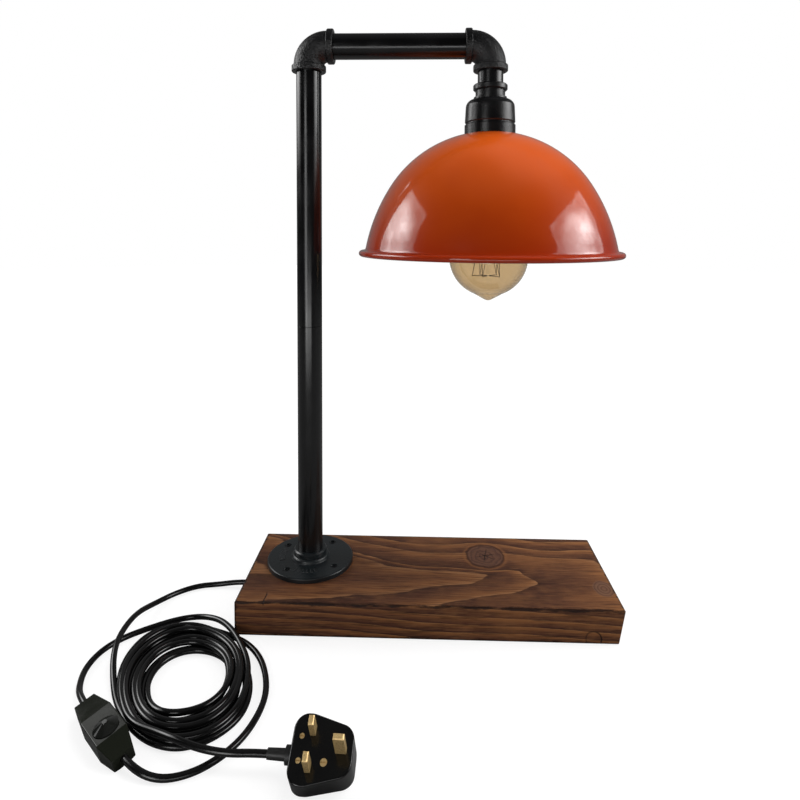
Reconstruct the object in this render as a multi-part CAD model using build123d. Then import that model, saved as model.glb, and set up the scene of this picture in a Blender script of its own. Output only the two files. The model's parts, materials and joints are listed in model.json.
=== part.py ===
from build123d import *
import math
import os

# Industrial pipe table lamp: a plank base, a riser and arm of screwed 3/4 inch pipe, a pressed
# dome shade over an E27 bulb, and a mains lead with an in-line dimmer and a 13 A plug.
# Frame: X along the board and the arm, Y towards the back, Z up.
# Origin: the middle of the board's underside, on the table.

# ------------------------------------------------------------------ driving sizes, millimetres
fit_clearance = 0.05        # radial, between pieces that stay put
running_clearance = 0.08    # radial, between pieces that turn
turning_gap = 0.3           # end to end, between pieces that turn

# base board, sawn from a plank
board_length = 384.0
board_depth = 137.0
board_thickness = 34.0
board_edge_round = 1.6
board_end_lean = 6.0        # the right end is sawn out of square by this much
riser_from_left_end = 62.0
riser_behind_middle = 11.5
cable_hole_radius = 12.0
channel_radius = 4.5        # cable channel in the underside, and its rounded roof
channel_axis_height = 6.5

# malleable iron fittings and 3/4 inch pipe
pipe_radius = 13.45
pipe_bore_radius = 10.85
socket_depth = 11.0         # how far a pipe goes into a fitting
lower_pipe_length = 261.0
upper_pipe_length = 283.2
joiner_length = 44.0
joiner_wall = 2.6
arm_pipe_length = 161.2
nipple_length = 35.5

flange_radius = 47.0
flange_plate = 5.0
flange_rim_round = 1.4
flange_height = 15.0
flange_bead_radius = 20.5    # round bead at the foot of the hub
flange_bead_height = 4.6
flange_bead_foot = 1.5      # the bead runs out into the plate over this width
flange_groove = 0.8         # between the bead and the collar above it
flange_collar_radius = 17.8
flange_collar_round = 1.2
flange_pipe_seat = 2.0      # the pipe stops this far above the board
flange_screw_circle = 35.5
flange_screw_first_angle = 55.0
flange_screw_count = 4

screw_shank_radius = 2.0
screw_head_radius = 3.7
screw_length = 26.0
screw_head_depth = 2.2
screw_head_sink = 1.1       # below the flange's face
screw_hole_clearance = 0.3
screw_slot_width = 1.0

elbow_reach = 27.0
elbow_bend_radius = 20.0
elbow_body_radius = 16.2
elbow_band_radius = 18.3
elbow_band_width = 7.0
elbow_band_round = 1.3

reducer_length = 52.6
reducer_top_bead_radius = 18.1
reducer_top_bead = 6.5
reducer_neck_radius = 15.6
reducer_neck = 7.0
reducer_shoulder_radius = 17.4
reducer_shoulder = 2.4
reducer_flare = 8.2
reducer_body_radius = 26.6
reducer_foot_radius = 26.9
reducer_foot = 10.6
reducer_body_draft = 0.8    # the body is this much slimmer under its shoulder
reducer_groove = 1.5
reducer_groove_depth = 1.3
reducer_mouth_radius = 20.9
reducer_mouth_depth = 20.0

# shade and the parts that hang it
crown_radius = 125.1        # sphere of the dome's top
crown_flat_radius = 27.0
shoulder_radius = 105.0     # where the sphere runs into the skirt
skirt_radius = 190.0
dome_depth = 120.2
shade_wall = 0.8
rim_bead_radius = 3.1
rim_slit = 0.8               # between the rolled rim and its own edge
rim_overhang = 4.3          # from the skirt's foot out to the middle of the rolled rim
rim_drop = 6.2

bush_thickness = 8.0
bush_recess = 3.0
stem_radius = 5.0           # hollow threaded stem
stem_bore_radius = 3.6
stem_above_bush = 3.0
washer_radius = 18.0
washer_thickness = 1.5
nut_across_flats = 14.0
nut_thickness = 5.0

# E27 lampholder
holder_below_crown = 18.4
holder_radius = 20.0
holder_wall = 3.0
holder_boss_radius = 8.5
holder_boss_height = 8.0
holder_cap_height = 22.0
holder_body_height = 40.0
block_thickness = 7.0
block_above_sleeve = 1.0
sleeve_radius = 13.9
sleeve_wall = 0.6
sleeve_length = 24.0
spring_thickness = 0.6
spring_width = 5.0
spring_drop = 2.2
core_radius = 1.1
terminal_radius = 1.9
terminal_offset = 11.0

# bulb
bulb_radius = 42.0
bulb_neck_radius = 12.3
bulb_neck_height = 47.0     # from the globe's middle to where the neck turns straight
bulb_glass_wall = 0.9
bulb_pip_length = 4.6       # below the globe
bulb_pip_radius = 14.5      # where its cone leaves the globe
bulb_pip_tip_radius = 4.2
bulb_cap_radius = 13.0
bulb_cap_wall = 0.4
bulb_cap_length = 22.5
bulb_insulator_height = 2.6
bulb_tip_radius = 4.8
bulb_tip_height = 1.2
contact_gap = 0.2
glass_in_cap = 8.0
mount_radius = 3.2          # glass stem inside the globe, drawn out to a thin rod below
mount_shoulder = 24.0
mount_rod_radius = 1.6
mount_length = 78.0
filament_legs = 10
filament_radius = 0.35
filament_top_radius = 11.0
filament_foot_radius = 17.0
filament_height = 46.0
filament_above_middle = 26.0
support_wire_radius = 0.4

# mains lead
cord_radius = 2.7
cord_on_table = 2.75        # height of its middle where it lies
inner_bend_radius = 13.0
grommet_lip = 1.5
coil_clearance = 0.2        # the coil's shape stands this far above the table

# in-line dimmer
dimmer_length = 74.0
dimmer_width = 23.4
dimmer_end_width = 16.0
dimmer_height = 16.6
dimmer_end_height = 11.6
dimmer_parting_height = 8.0
dimmer_edge_round = 0.8
dimmer_wall = 1.6
dimmer_keel_width = 8.0
dimmer_roll = 12.0          # it lies on one bevel of its underside
dimmer_plateau_start = -10.5
dimmer_plateau_end = 20.5
dimmer_cord_height = 6.3
dimmer_cord_inside = 7.5    # length of lead inside the case
dimmer_rib_from_end = 12.0
dimmer_saddle_from_end = 6.0
dimmer_window = (11.0, 3.6)  # shallow sunk window in one side
dimmer_window_depth = 0.7
dimmer_window_from_middle = 17.0
dimmer_place = (-256.5, -193.5)
dimmer_heading = -41.0
knob_radius = 9.3
knob_offset = 10.0
knob_height = 6.6
knob_nub_radius = 1.9
knob_recess = 1.6
knob_gap = 0.45
knob_shaft_radius = 3.0
knob_bevel_start = 0.8
pot_radius = 7.2
pot_height = 5.0
dimmer_board_thickness = 1.6
dimmer_board_width = 15.0
dimmer_board_length = 44.0

# 13 A plug
plug_length = 46.0
plug_width = 45.0
plug_earth_end_width = 29.0
plug_taper_start = 14.0     # from the lead's end
plug_corner = 10.5
plug_bend = 14.0
plug_cover_depth = 16.5
plug_base_depth = 10.5
plug_wall = 2.2
plug_face_wall = 3.4
plug_roll = 28.0            # it lies on one bevel of its pitched back
plug_ridge_width = 9.0
plug_place = (-79.0, -214.0)
plug_heading = -2.5
plug_cord_height = 13.6
plug_cord_inside = 4.4      # length of lead inside the plug
line_pin_width = 6.35
line_pin_thick = 4.0
line_pin_length = 17.7
line_pin_spacing = 22.2
earth_pin_width = 8.0
earth_pin_thick = 4.0
earth_pin_length = 22.7
earth_pin_ahead = 22.2      # from the line of the other two pins
line_pins_from_middle = -8.0
pin_chamfer = 0.8
pin_root = 8.0
fuse_radius = 3.15
fuse_length = 25.4
grip_screw_spacing = 15.0
grip_screw_radius = 1.9
cover_screw_radius = 2.6
plug_sleeve_length = 19.0
plug_sleeve_radius = 4.3
plug_collar_radius = 6.2
plug_collar_length = 5.0

BOTTOM = (Align.CENTER, Align.CENTER, Align.MIN)

# ------------------------------------------------------------------ places worked out from them
riser_x = -board_length / 2 + riser_from_left_end
riser_y = riser_behind_middle
pipe_foot_z = board_thickness + flange_pipe_seat
seam_z = pipe_foot_z + lower_pipe_length
riser_top_z = seam_z + upper_pipe_length
elbow_seat = elbow_reach - socket_depth
arm_z = riser_top_z + turning_gap + elbow_seat
left_elbow_foot_z = arm_z - elbow_reach
arm_start_x = riser_x + elbow_seat
drop_x = arm_start_x + arm_pipe_length + turning_gap + elbow_seat
right_elbow_face_x = drop_x - elbow_reach
riser = Pos(riser_x, riser_y, 0)
head = Pos(drop_x, riser_y, arm_z)

# heights below the arm's axis, down the drop
nipple_foot = -elbow_seat - nipple_length
reducer_top = nipple_foot + socket_depth
crown_top = reducer_top - reducer_length
crown_under = crown_top - shade_wall
sphere_middle = crown_top - math.sqrt(crown_radius ** 2 - crown_flat_radius ** 2)
holder_top = crown_top - holder_below_crown
holder_split = holder_top - holder_cap_height
holder_mouth = holder_split - holder_body_height
sleeve_top = holder_mouth + sleeve_length + 2.0
block_foot = sleeve_top + block_above_sleeve
spring_foot = block_foot - spring_drop
bulb_tip_top = spring_foot - contact_gap
cap_top = bulb_tip_top - bulb_tip_height - bulb_insulator_height
cap_foot = cap_top - bulb_cap_length
mount_top = cap_foot + glass_in_cap - bulb_glass_wall
neck_start = cap_foot - 1.5
bulb_middle = neck_start - bulb_neck_height


def rod(radius, low, high):
    """Upright round bar between two heights."""
    return Pos(0, 0, low) * Cylinder(radius, high - low, align=BOTTOM)


def ring(outer, inner, low, high):
    """Upright tube between two heights."""
    return rod(outer, low, high) - rod(inner, low - 1, high + 1)


def turned(points):
    """Solid of revolution about Z from (radius, height) corners."""
    outline = Polyline(*[(r, 0, z) for r, z in points], close=True)
    return revolve(make_face(outline), Axis.Z)


def save(node, shape):
    export_step(shape, f"parts/{node}.step")


# ------------------------------------------------------------------ base board
def base_board():
    half = board_length / 2
    side = Polyline((-half, 0, 0), (half - board_end_lean, 0, 0), (half, 0, board_thickness),
                    (-half, 0, board_thickness), close=True)
    plank = extrude(make_face(side), amount=board_depth / 2, dir=(0, 1, 0), both=True)
    plank = fillet(plank.edges(), board_edge_round)
    plank -= riser * rod(cable_hole_radius, -1, board_thickness + 1)
    length = riser_from_left_end + 1
    channel = Box(length, 2 * channel_radius, channel_axis_height + 1,
                  align=(Align.MAX, Align.CENTER, Align.MAX))
    roof = Rot(0, -90, 0) * Cylinder(channel_radius, length, align=BOTTOM)
    plank -= Pos(riser_x, riser_y, channel_axis_height) * (channel + roof)
    hole = rod(screw_shank_radius + fit_clearance, board_thickness - screw_length, board_thickness + 1)
    for place in screw_places():
        plank -= place * hole
    return plank


def screw_places():
    """The flange's screw places, round the riser's axis."""
    step = 360 / flange_screw_count
    angles = [flange_screw_first_angle + step * i for i in range(flange_screw_count)]
    return [riser * Rot(0, 0, angle) * Pos(flange_screw_circle, 0, 0) for angle in angles]


def cable_grommet():
    """Rubber bush round the lead where the channel leaves the board's left end."""
    depth = 8.0
    plug_radius = channel_radius - fit_clearance
    lip_radius = channel_axis_height - 0.3
    body = Cylinder(plug_radius, depth, align=BOTTOM)
    body += Pos(0, 0, -grommet_lip) * Cylinder(lip_radius, grommet_lip, align=BOTTOM)
    bore = Cylinder(cord_radius + fit_clearance, depth + grommet_lip + 2, align=BOTTOM)
    body -= Pos(0, 0, -grommet_lip - 1) * bore
    return Pos(-board_length / 2, riser_y, channel_axis_height) * Rot(0, 90, 0) * body


# ------------------------------------------------------------------ floor flange and its screws
def floor_flange():
    base = board_thickness
    plate = rod(flange_radius, base, base + flange_plate)
    plate = fillet(plate.edges().sort_by(Axis.Z)[-1], flange_rim_round)
    face = base + flange_plate
    top = base + flange_height
    groove = face + flange_bead_height
    collar = flange_collar_radius
    steps = [math.radians(15 * i) for i in range(7)]
    bead_depth = flange_bead_radius - collar + flange_groove
    bead = [(flange_bead_radius - bead_depth * (1 - math.cos(t)),
             face + 1.0 + (flange_bead_height - 1.0) * math.sin(t)) for t in steps]
    hub = turned([
        (0, face - 1), (flange_bead_radius + flange_bead_foot, face - 1),
        (flange_bead_radius + flange_bead_foot, face), (flange_bead_radius + 0.3, face + 0.4)]
        + bead + [(collar - flange_groove, groove + flange_groove), (collar, groove + 2 * flange_groove),
                  (collar, top - flange_collar_round), (collar - flange_collar_round, top), (0, top)])
    flange = riser * (plate + hub)
    flange -= riser * rod(pipe_bore_radius, base - 1, base + flange_height + 1)
    flange -= riser * rod(pipe_radius + fit_clearance, pipe_foot_z, base + flange_height + 1)
    head_top = face - screw_head_sink
    hole = screw_head_radius + screw_hole_clearance
    sink = rod(screw_shank_radius + 0.7, base - 1, face + 1) + rod(hole, head_top, face + 1)
    sink += Pos(0, 0, head_top - screw_head_depth) * Cone(
        screw_shank_radius + 0.7, hole, screw_head_depth, align=BOTTOM)
    for place in screw_places():
        flange -= place * sink
    return flange


def flange_screws():
    """Countersunk wood screws."""
    top = board_thickness + flange_plate - screw_head_sink - 0.1
    tip = top + screw_head_sink - screw_length
    shank = rod(screw_shank_radius, tip + 4, top - screw_head_depth + 0.2)
    point = Pos(0, 0, tip) * Cone(0.3, screw_shank_radius, 4.0, align=BOTTOM)
    head_cone = Pos(0, 0, top - screw_head_depth) * Cone(
        screw_shank_radius, screw_head_radius, screw_head_depth, align=BOTTOM)
    screw = shank + point + head_cone
    slot = Pos(0, 0, top) * Box(2.2 * screw_head_radius, screw_slot_width, 2.0)
    cross = Rot(0, 0, 90) * slot
    screw = screw - slot - cross
    return Compound([place * screw for place in screw_places()])


# ------------------------------------------------------------------ pipework
def elbow():
    """Equal banded elbow about its own corner: one mouth looks down, the other along +X."""
    route = FilletPolyline((0, 0, -elbow_reach), (0, 0, 0), (elbow_reach, 0, 0),
                           radius=elbow_bend_radius)
    start = Plane(origin=(0, 0, -elbow_reach), z_dir=(0, 0, 1))
    body = sweep(start * Circle(elbow_body_radius), path=route)
    band = rod(elbow_band_radius, -elbow_reach, -elbow_reach + elbow_band_width)
    band = fillet(band.edges().filter_by(GeomType.CIRCLE), elbow_band_round)
    second = Rot(0, -90, 0) * band
    body = body + band + second
    body -= sweep(start * Circle(pipe_bore_radius - 0.6), path=route)
    socket = rod(pipe_radius + running_clearance, -elbow_reach - 1, -elbow_seat)
    return body - socket - Rot(0, -90, 0) * socket


def pipe(length):
    """Length of screwed pipe standing on Z = 0, its ends eased."""
    tube = ring(pipe_radius, pipe_bore_radius, 0, length)
    rims = [e for e in tube.edges().filter_by(GeomType.CIRCLE) if e.radius > pipe_radius - 0.1]
    return chamfer(rims, 0.25)


def riser_joiner():
    radius = pipe_bore_radius - fit_clearance
    half = joiner_length / 2
    return riser * ring(radius, radius - joiner_wall, seam_z - half, seam_z + half)


def reducing_socket():
    """Reducing socket: small female end with a double bead, flare, wide female end with a foot."""
    top = reducer_top
    foot_top = crown_top + reducer_foot
    neck_top = top - reducer_top_bead
    shoulder_top = neck_top - reducer_neck
    flare_top = shoulder_top - reducer_shoulder
    flare_foot = flare_top - reducer_flare
    outside = [
        (reducer_top_bead_radius - 1.2, top), (reducer_top_bead_radius, top - 1.2),
        (reducer_top_bead_radius, neck_top + 1.2), (reducer_top_bead_radius - 1.2, neck_top),
        (reducer_neck_radius, neck_top), (reducer_neck_radius, shoulder_top),
        (reducer_shoulder_radius, shoulder_top), (reducer_shoulder_radius, flare_top),
    ]
    shoulder = reducer_body_radius - reducer_body_draft - reducer_shoulder_radius
    for step in range(1, 7):
        turn = math.radians(15 * step)
        outside.append((reducer_shoulder_radius + shoulder * math.sin(turn),
                        flare_foot + reducer_flare * math.cos(turn)))
    groove_top = foot_top + reducer_groove
    outside += [
        (reducer_body_radius, groove_top + 1.0), (reducer_body_radius - 0.6, groove_top),
        (reducer_body_radius - reducer_groove_depth, groove_top),
        (reducer_body_radius - reducer_groove_depth, foot_top), (reducer_foot_radius - 1.0, foot_top),
        (reducer_foot_radius, foot_top - 1.0), (reducer_foot_radius, crown_top),
    ]
    mouth_top = crown_top + reducer_mouth_depth
    inside = [
        (reducer_mouth_radius, crown_top), (reducer_mouth_radius, mouth_top),
        (pipe_bore_radius, mouth_top + 6), (pipe_bore_radius, top - socket_depth),
        (pipe_radius + fit_clearance, top - socket_depth), (pipe_radius + fit_clearance, top),
    ]
    return turned(outside + inside)


def lead_through(points, radius):
    """Length of mains lead along straight runs and arcs of one radius."""
    route = FilletPolyline(*points, radius=radius)
    start = Plane(origin=points[0], z_dir=route % 0)
    return sweep(start * Circle(cord_radius), path=route)


# ------------------------------------------------------------------ shade and its fixings
def dome_outline(inset):
    """Points and arcs of the dome's half outline, the given distance inside its outer face."""
    sphere = crown_radius - inset
    skirt = skirt_radius - inset
    flat = crown_top - inset
    lean = math.asin(shoulder_radius / crown_radius)
    rise = math.cos(lean)
    reach = math.sin(lean)
    flat_end = (math.sqrt(sphere ** 2 - (flat - sphere_middle) ** 2), flat)
    shoulder = (sphere * reach, sphere_middle + sphere * rise)
    offset_back = crown_radius - skirt_radius
    skirt_middle = (offset_back * reach, sphere_middle + offset_back * rise)
    foot_z = crown_top - dome_depth
    foot = (skirt_middle[0] + math.sqrt(skirt ** 2 - (foot_z - skirt_middle[1]) ** 2), foot_z)
    half_lean = (lean + math.asin(flat_end[0] / sphere)) / 2
    crown_mid = (sphere * math.sin(half_lean), sphere_middle + sphere * math.cos(half_lean))
    low = math.atan2(foot[1] - skirt_middle[1], foot[0] - skirt_middle[0])
    high = math.atan2(shoulder[1] - skirt_middle[1], shoulder[0] - skirt_middle[0])
    mid = (low + high) / 2
    skirt_mid = (skirt_middle[0] + skirt * math.cos(mid), skirt_middle[1] + skirt * math.sin(mid))
    return flat_end, crown_mid, shoulder, skirt_mid, foot


def upright(point):
    return (point[0], 0, point[1])


def shade():
    """Pressed dome with a flat crown and an open hollow bead rolled along its rim."""
    out = [upright(p) for p in dome_outline(0)]
    inn = [upright(p) for p in dome_outline(shade_wall)]
    hole = stem_radius + 0.3
    edges = [
        Line((hole, 0, crown_top), out[0]),
        ThreePointArc(out[0], out[1], out[2]),
        ThreePointArc(out[2], out[3], out[4]),
        Line(out[4], inn[4]),
        ThreePointArc(inn[4], inn[3], inn[2]),
        ThreePointArc(inn[2], inn[1], inn[0]),
        Line(inn[0], (hole, 0, crown_under)),
        Line((hole, 0, crown_under), (hole, 0, crown_top)),
    ]
    shell = revolve(make_face(edges), Axis.Z)
    foot_radius, foot_z = dome_outline(0)[4]
    bead = (foot_radius + rim_overhang, foot_z - rim_drop)
    lip = turned([(foot_radius, foot_z + 0.6), (bead[0] + 0.3, bead[1] + rim_bead_radius - 0.4),
                  (bead[0] - 0.6, bead[1] + rim_bead_radius - 1.6),
                  (foot_radius - shade_wall, foot_z - 0.9), (foot_radius - shade_wall, foot_z + 0.6)])
    roll = Torus(bead[0], rim_bead_radius)
    hollow = Torus(bead[0], rim_bead_radius - shade_wall)
    slit = ring(bead[0] - rim_bead_radius / 2, bead[0] - rim_bead_radius / 2 - rim_slit,
                -2 * rim_bead_radius, 0)
    at_rim = Pos(0, 0, bead[1])
    return shell + lip + at_rim * roll - at_rim * hollow - at_rim * slit


def holder_bush():
    """Screwed plug in the reducer's wide mouth, tapped for the stem."""
    low = crown_top + bush_recess
    return ring(reducer_mouth_radius - fit_clearance, stem_radius + fit_clearance,
                low, low + bush_thickness)


def stem_tube():
    top = crown_top + bush_recess + bush_thickness + stem_above_bush
    return ring(stem_radius, stem_bore_radius, holder_top - holder_boss_height + 1.0, top)


def clamp_washer():
    return ring(washer_radius, stem_radius + fit_clearance, crown_under - washer_thickness, crown_under)


def clamp_nut():
    top = crown_under - washer_thickness
    hexagon = RegularPolygon(nut_across_flats / 2, 6, major_radius=False)
    nut = Pos(0, 0, top - nut_thickness) * extrude(hexagon, amount=nut_thickness)
    return nut - rod(stem_radius + fit_clearance, top - nut_thickness - 1, top + 1)


# ------------------------------------------------------------------ lampholder
def holder_cap():
    """Upper shell of the lampholder, with the boss that screws onto the stem."""
    inner = holder_radius - holder_wall
    boss_foot = holder_top - holder_boss_height
    shell = turned([
        (stem_radius + fit_clearance, holder_top), (holder_boss_radius, holder_top),
        (holder_boss_radius, boss_foot + 3), (holder_radius - 4, boss_foot),
        (holder_radius, boss_foot - 4), (holder_radius, holder_split), (inner, holder_split),
        (inner, boss_foot - 4), (stem_radius + fit_clearance, boss_foot - 2)])
    return shell


def holder_body():
    """Lower shell: room for the contact block above, a thick wall round the screw sleeve below."""
    cavity = holder_radius - holder_wall
    bore = sleeve_radius + fit_clearance
    body = turned([
        (cavity, holder_split), (holder_radius, holder_split),
        (holder_radius, holder_mouth + 14), (holder_radius - 1.2, holder_mouth + 13),
        (holder_radius - 1.2, holder_mouth + 1), (holder_radius - 2.0, holder_mouth),
        (bore + 0.6, holder_mouth), (bore, holder_mouth + 1.2), (bore, sleeve_top),
        (cavity, sleeve_top)])
    return body


def contact_block():
    """Ceramic block that carries the contacts and the terminals."""
    block = rod(holder_radius - holder_wall - fit_clearance, block_foot, block_foot + block_thickness)
    for side in (-1, 1):
        block -= Pos(side * terminal_offset, 0, 0) * rod(
            terminal_radius + fit_clearance, block_foot + 2, block_foot + block_thickness + 1)
    return block


def thread_sleeve():
    return ring(sleeve_radius, sleeve_radius - sleeve_wall, sleeve_top - sleeve_length, sleeve_top)


def centre_contact():
    """Sprung brass tongue, riveted under the block and bent down to the bulb's tip."""
    outline = Polyline((-9, 0, block_foot), (-9, 0, block_foot - spring_thickness),
                       (-5, 0, block_foot - spring_thickness), (-1.5, 0, spring_foot),
                       (3, 0, spring_foot), (3, 0, spring_foot + spring_thickness),
                       (-1.2, 0, spring_foot + spring_thickness), (-4.7, 0, block_foot), close=True)
    return extrude(make_face(outline), amount=spring_width / 2, dir=(0, 1, 0), both=True)


def terminal_screws():
    top = block_foot + block_thickness
    screw = rod(terminal_radius, block_foot + 2.2, top + 1.5)
    screw -= Pos(0, 0, top + 1.5) * Box(5, 0.7, 1.4)
    return Compound([Pos(side * terminal_offset, 0, 0) * screw for side in (-1, 1)])


def holder_cores():
    """Two insulated cores from the end of the lead to the terminals."""
    top = holder_top - holder_boss_height - 1.0
    foot = block_foot + block_thickness + 1.7
    cores = []
    for side in (-1, 1):
        begin = side * (core_radius + 0.1)
        end = side * terminal_offset
        middle = (top + foot) / 2
        points = [(begin, 0, top), (begin, 0, middle + 2), (end, 0, middle - 2), (end, 0, foot)]
        route = FilletPolyline(*points, radius=2.2)
        cores.append(sweep(Plane(origin=points[0], z_dir=(0, 0, -1)) * Circle(core_radius), path=route))
    return Compound(cores)


# ------------------------------------------------------------------ bulb
def globe_section(inset):
    """Half section of the globe and neck, the given distance inside the outer face of the glass."""
    radius = bulb_radius - inset
    neck = bulb_neck_radius - inset
    height = bulb_neck_height
    outer_blend = (bulb_radius ** 2 - bulb_neck_radius ** 2 - height ** 2) / (
        2 * (bulb_neck_radius - bulb_radius))
    blend = outer_blend + inset
    blend_middle = (bulb_neck_radius + outer_blend, bulb_middle + height)
    span = bulb_radius + outer_blend
    direction = (blend_middle[0] / span, height / span)
    touch = (direction[0] * radius, bulb_middle + direction[1] * radius)
    mid_angle = (math.pi + math.atan2(-direction[1], -direction[0]) % (2 * math.pi)) / 2
    blend_mid = (blend_middle[0] + blend * math.cos(mid_angle),
                 blend_middle[1] + blend * math.sin(mid_angle))
    top = cap_foot + glass_in_cap - inset
    edges = [
        ThreePointArc((0, 0, bulb_middle - radius), (radius, 0, bulb_middle), upright(touch)),
        ThreePointArc(upright(touch), upright(blend_mid), (neck, 0, blend_middle[1])),
        Line((neck, 0, blend_middle[1]), (neck, 0, top)),
        Line((neck, 0, top), (0, 0, top)),
        Line((0, 0, top), (0, 0, bulb_middle - radius)),
    ]
    return make_face(edges)


def bulb_glass():
    """Blown globe with the sealed pip at its bottom."""
    drop = bulb_middle - bulb_radius
    sink = bulb_radius - math.sqrt(bulb_radius ** 2 - bulb_pip_radius ** 2)
    tip = drop - bulb_pip_length
    round_off = bulb_pip_tip_radius
    pip = make_face(Polyline(
        (0, 0, tip), (round_off * 0.45, 0, tip + 0.15), (round_off * 0.8, 0, tip + 0.6),
        (round_off, 0, tip + 1.2), (bulb_pip_radius, 0, drop + sink),
        (bulb_pip_radius - 1, 0, drop + sink + 0.4), (0, 0, drop + sink + 0.4), close=True))
    section = globe_section(0) + pip - globe_section(bulb_glass_wall)
    return revolve(section, Axis.Z)


def bulb_cap():
    """Brass screw shell with its glass insulator."""
    low_bore = bulb_neck_radius + fit_clearance
    glass_top = cap_foot + glass_in_cap + fit_clearance
    crown = bulb_tip_radius + fit_clearance
    return turned([
        (low_bore, cap_foot), (bulb_cap_radius, cap_foot), (bulb_cap_radius, cap_top),
        (bulb_tip_radius + 2.5, cap_top + bulb_insulator_height),
        (0, cap_top + bulb_insulator_height), (0, cap_top),
        (crown + 2, cap_top - bulb_cap_wall), (bulb_cap_radius - bulb_cap_wall, cap_top - 2),
        (bulb_cap_radius - bulb_cap_wall, glass_top), (low_bore, glass_top)])


def bulb_tip():
    return rod(bulb_tip_radius, bulb_tip_top - bulb_tip_height, bulb_tip_top)


def bulb_mount():
    """Glass stem inside the globe: a flare that seals it in the neck, and a rod for the hooks."""
    top = mount_top
    flare = bulb_neck_radius - bulb_glass_wall - 1.5
    return turned([
        (0, top), (flare, top), (flare - 1, top - 3), (mount_radius + 1.2, top - 12),
        (mount_radius, top - 20), (mount_radius, top - mount_shoulder),
        (mount_rod_radius, top - mount_shoulder - 3), (mount_rod_radius, top - mount_length),
        (0, top - mount_length)])


def ball(point, radius):
    return Pos(*point) * Sphere(radius)


def wire(points, radius):
    """Thin wire through points, round at its corners."""
    shape = None
    for first, second in zip(points, points[1:]):
        run = Line(first, second)
        piece = sweep(Plane(origin=first, z_dir=run % 0) * Circle(radius), path=run)
        shape = piece if shape is None else shape + piece
        shape = shape + ball(second, radius)
    return shape


def filament():
    """Squirrel-cage filament with the hooks and lead-in wires that hold it to the glass stem."""
    top = bulb_middle + filament_above_middle
    low = top - filament_height
    corners = []
    shape = None
    for leg in range(filament_legs + 1):
        angle = math.radians(20 + 320 * leg / filament_legs)
        radius, height = (filament_top_radius, top) if leg % 2 == 0 else (filament_foot_radius, low)
        across = (math.cos(angle), math.sin(angle))
        corner = (radius * across[0], radius * across[1], height)
        root = mount_rod_radius + fit_clearance
        hook = wire([(root * across[0], root * across[1], height), corner], support_wire_radius)
        shape = hook if shape is None else shape + hook
        corners.append(corner)
    for end in (corners[0], corners[-1]):
        reach = (mount_radius + 3 * support_wire_radius) / filament_top_radius
        start = (end[0] * reach, end[1] * reach, mount_top - mount_shoulder + 2)
        shape = shape + wire([start, end], support_wire_radius)
    return shape + wire(corners, filament_radius)


# ------------------------------------------------------------------ in-line dimmer
def dimmer_frame():
    """Place of the dimmer: it lies on one bevel of its keel, raised at the side by the coil."""
    lean = Location((0, 0, 0), (dimmer_roll, 0, 0))
    lift = dimmer_keel_width / 2 * math.sin(math.radians(dimmer_roll))
    turn = Location((dimmer_place[0], dimmer_place[1], lift), (0, 0, dimmer_heading))
    return turn * lean


def dimmer_plan(inset):
    """Boat-shaped plan, narrower at both ends."""
    half = dimmer_length / 2 - inset
    wide = dimmer_width / 2 - inset
    narrow = dimmer_end_width / 2 - inset
    outline = Polyline((-half, -narrow), (dimmer_plateau_start, -wide), (dimmer_plateau_end, -wide),
                       (half, -narrow), (half, narrow), (dimmer_plateau_end, wide),
                       (dimmer_plateau_start, wide), (-half, narrow), close=True)
    return make_face(outline)


def dimmer_block(inset):
    """Whole case, the given distance inside its outer faces, before it is split."""
    block = extrude(dimmer_plan(inset), amount=dimmer_height)
    half = dimmer_length / 2 + 1
    low = dimmer_end_height - inset
    top = dimmer_height - inset
    over = dimmer_height + 5
    width = dimmer_width
    roof = make_face(Polyline(
        (-half, 0, low), (dimmer_plateau_start, 0, top), (dimmer_plateau_end, 0, top),
        (half, 0, low - 1.5), (half, 0, over), (-half, 0, over), close=True))
    block -= extrude(roof, amount=width, dir=(0, 1, 0), both=True)
    keel = dimmer_keel_width / 2
    rise = (dimmer_width / 2 - keel) * math.tan(math.radians(dimmer_roll))
    for side in (-1, 1):
        belly = make_face(Polyline(
            (0, side * keel, inset), (0, side * dimmer_width / 2, inset + rise),
            (0, side * dimmer_width, inset + rise), (0, side * dimmer_width, -5),
            (0, side * keel, -5), close=True))
        block -= extrude(belly, amount=half, dir=(1, 0, 0), both=True)
    if inset:
        block -= Box(2 * half, 2 * width, 2 * inset)
    return block


def dimmer_case():
    """Whole case with its edges eased, hollow."""
    outer = dimmer_block(0)
    return fillet(outer.edges(), dimmer_edge_round) - dimmer_block(dimmer_wall)


def dimmer_side_window():
    """Cutter for the sunk window in the side that faces away from the coil."""
    half = dimmer_length / 2
    slope = (dimmer_width - dimmer_end_width) / 2 / (half + dimmer_plateau_start)
    side = dimmer_end_width / 2 + slope * (half - dimmer_window_from_middle)
    length, height = dimmer_window
    middle = dimmer_parting_height - height / 2 - 0.8
    return Pos(-dimmer_window_from_middle, -side, middle) * Rot(0, 0, -math.degrees(
        math.atan(slope))) * Box(length, 2 * dimmer_window_depth, height)


def dimmer_cord_bore():
    length = dimmer_length + 4
    return Pos(0, 0, dimmer_cord_height) * Rot(0, 90, 0) * Cylinder(cord_radius + fit_clearance, length)


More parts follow.
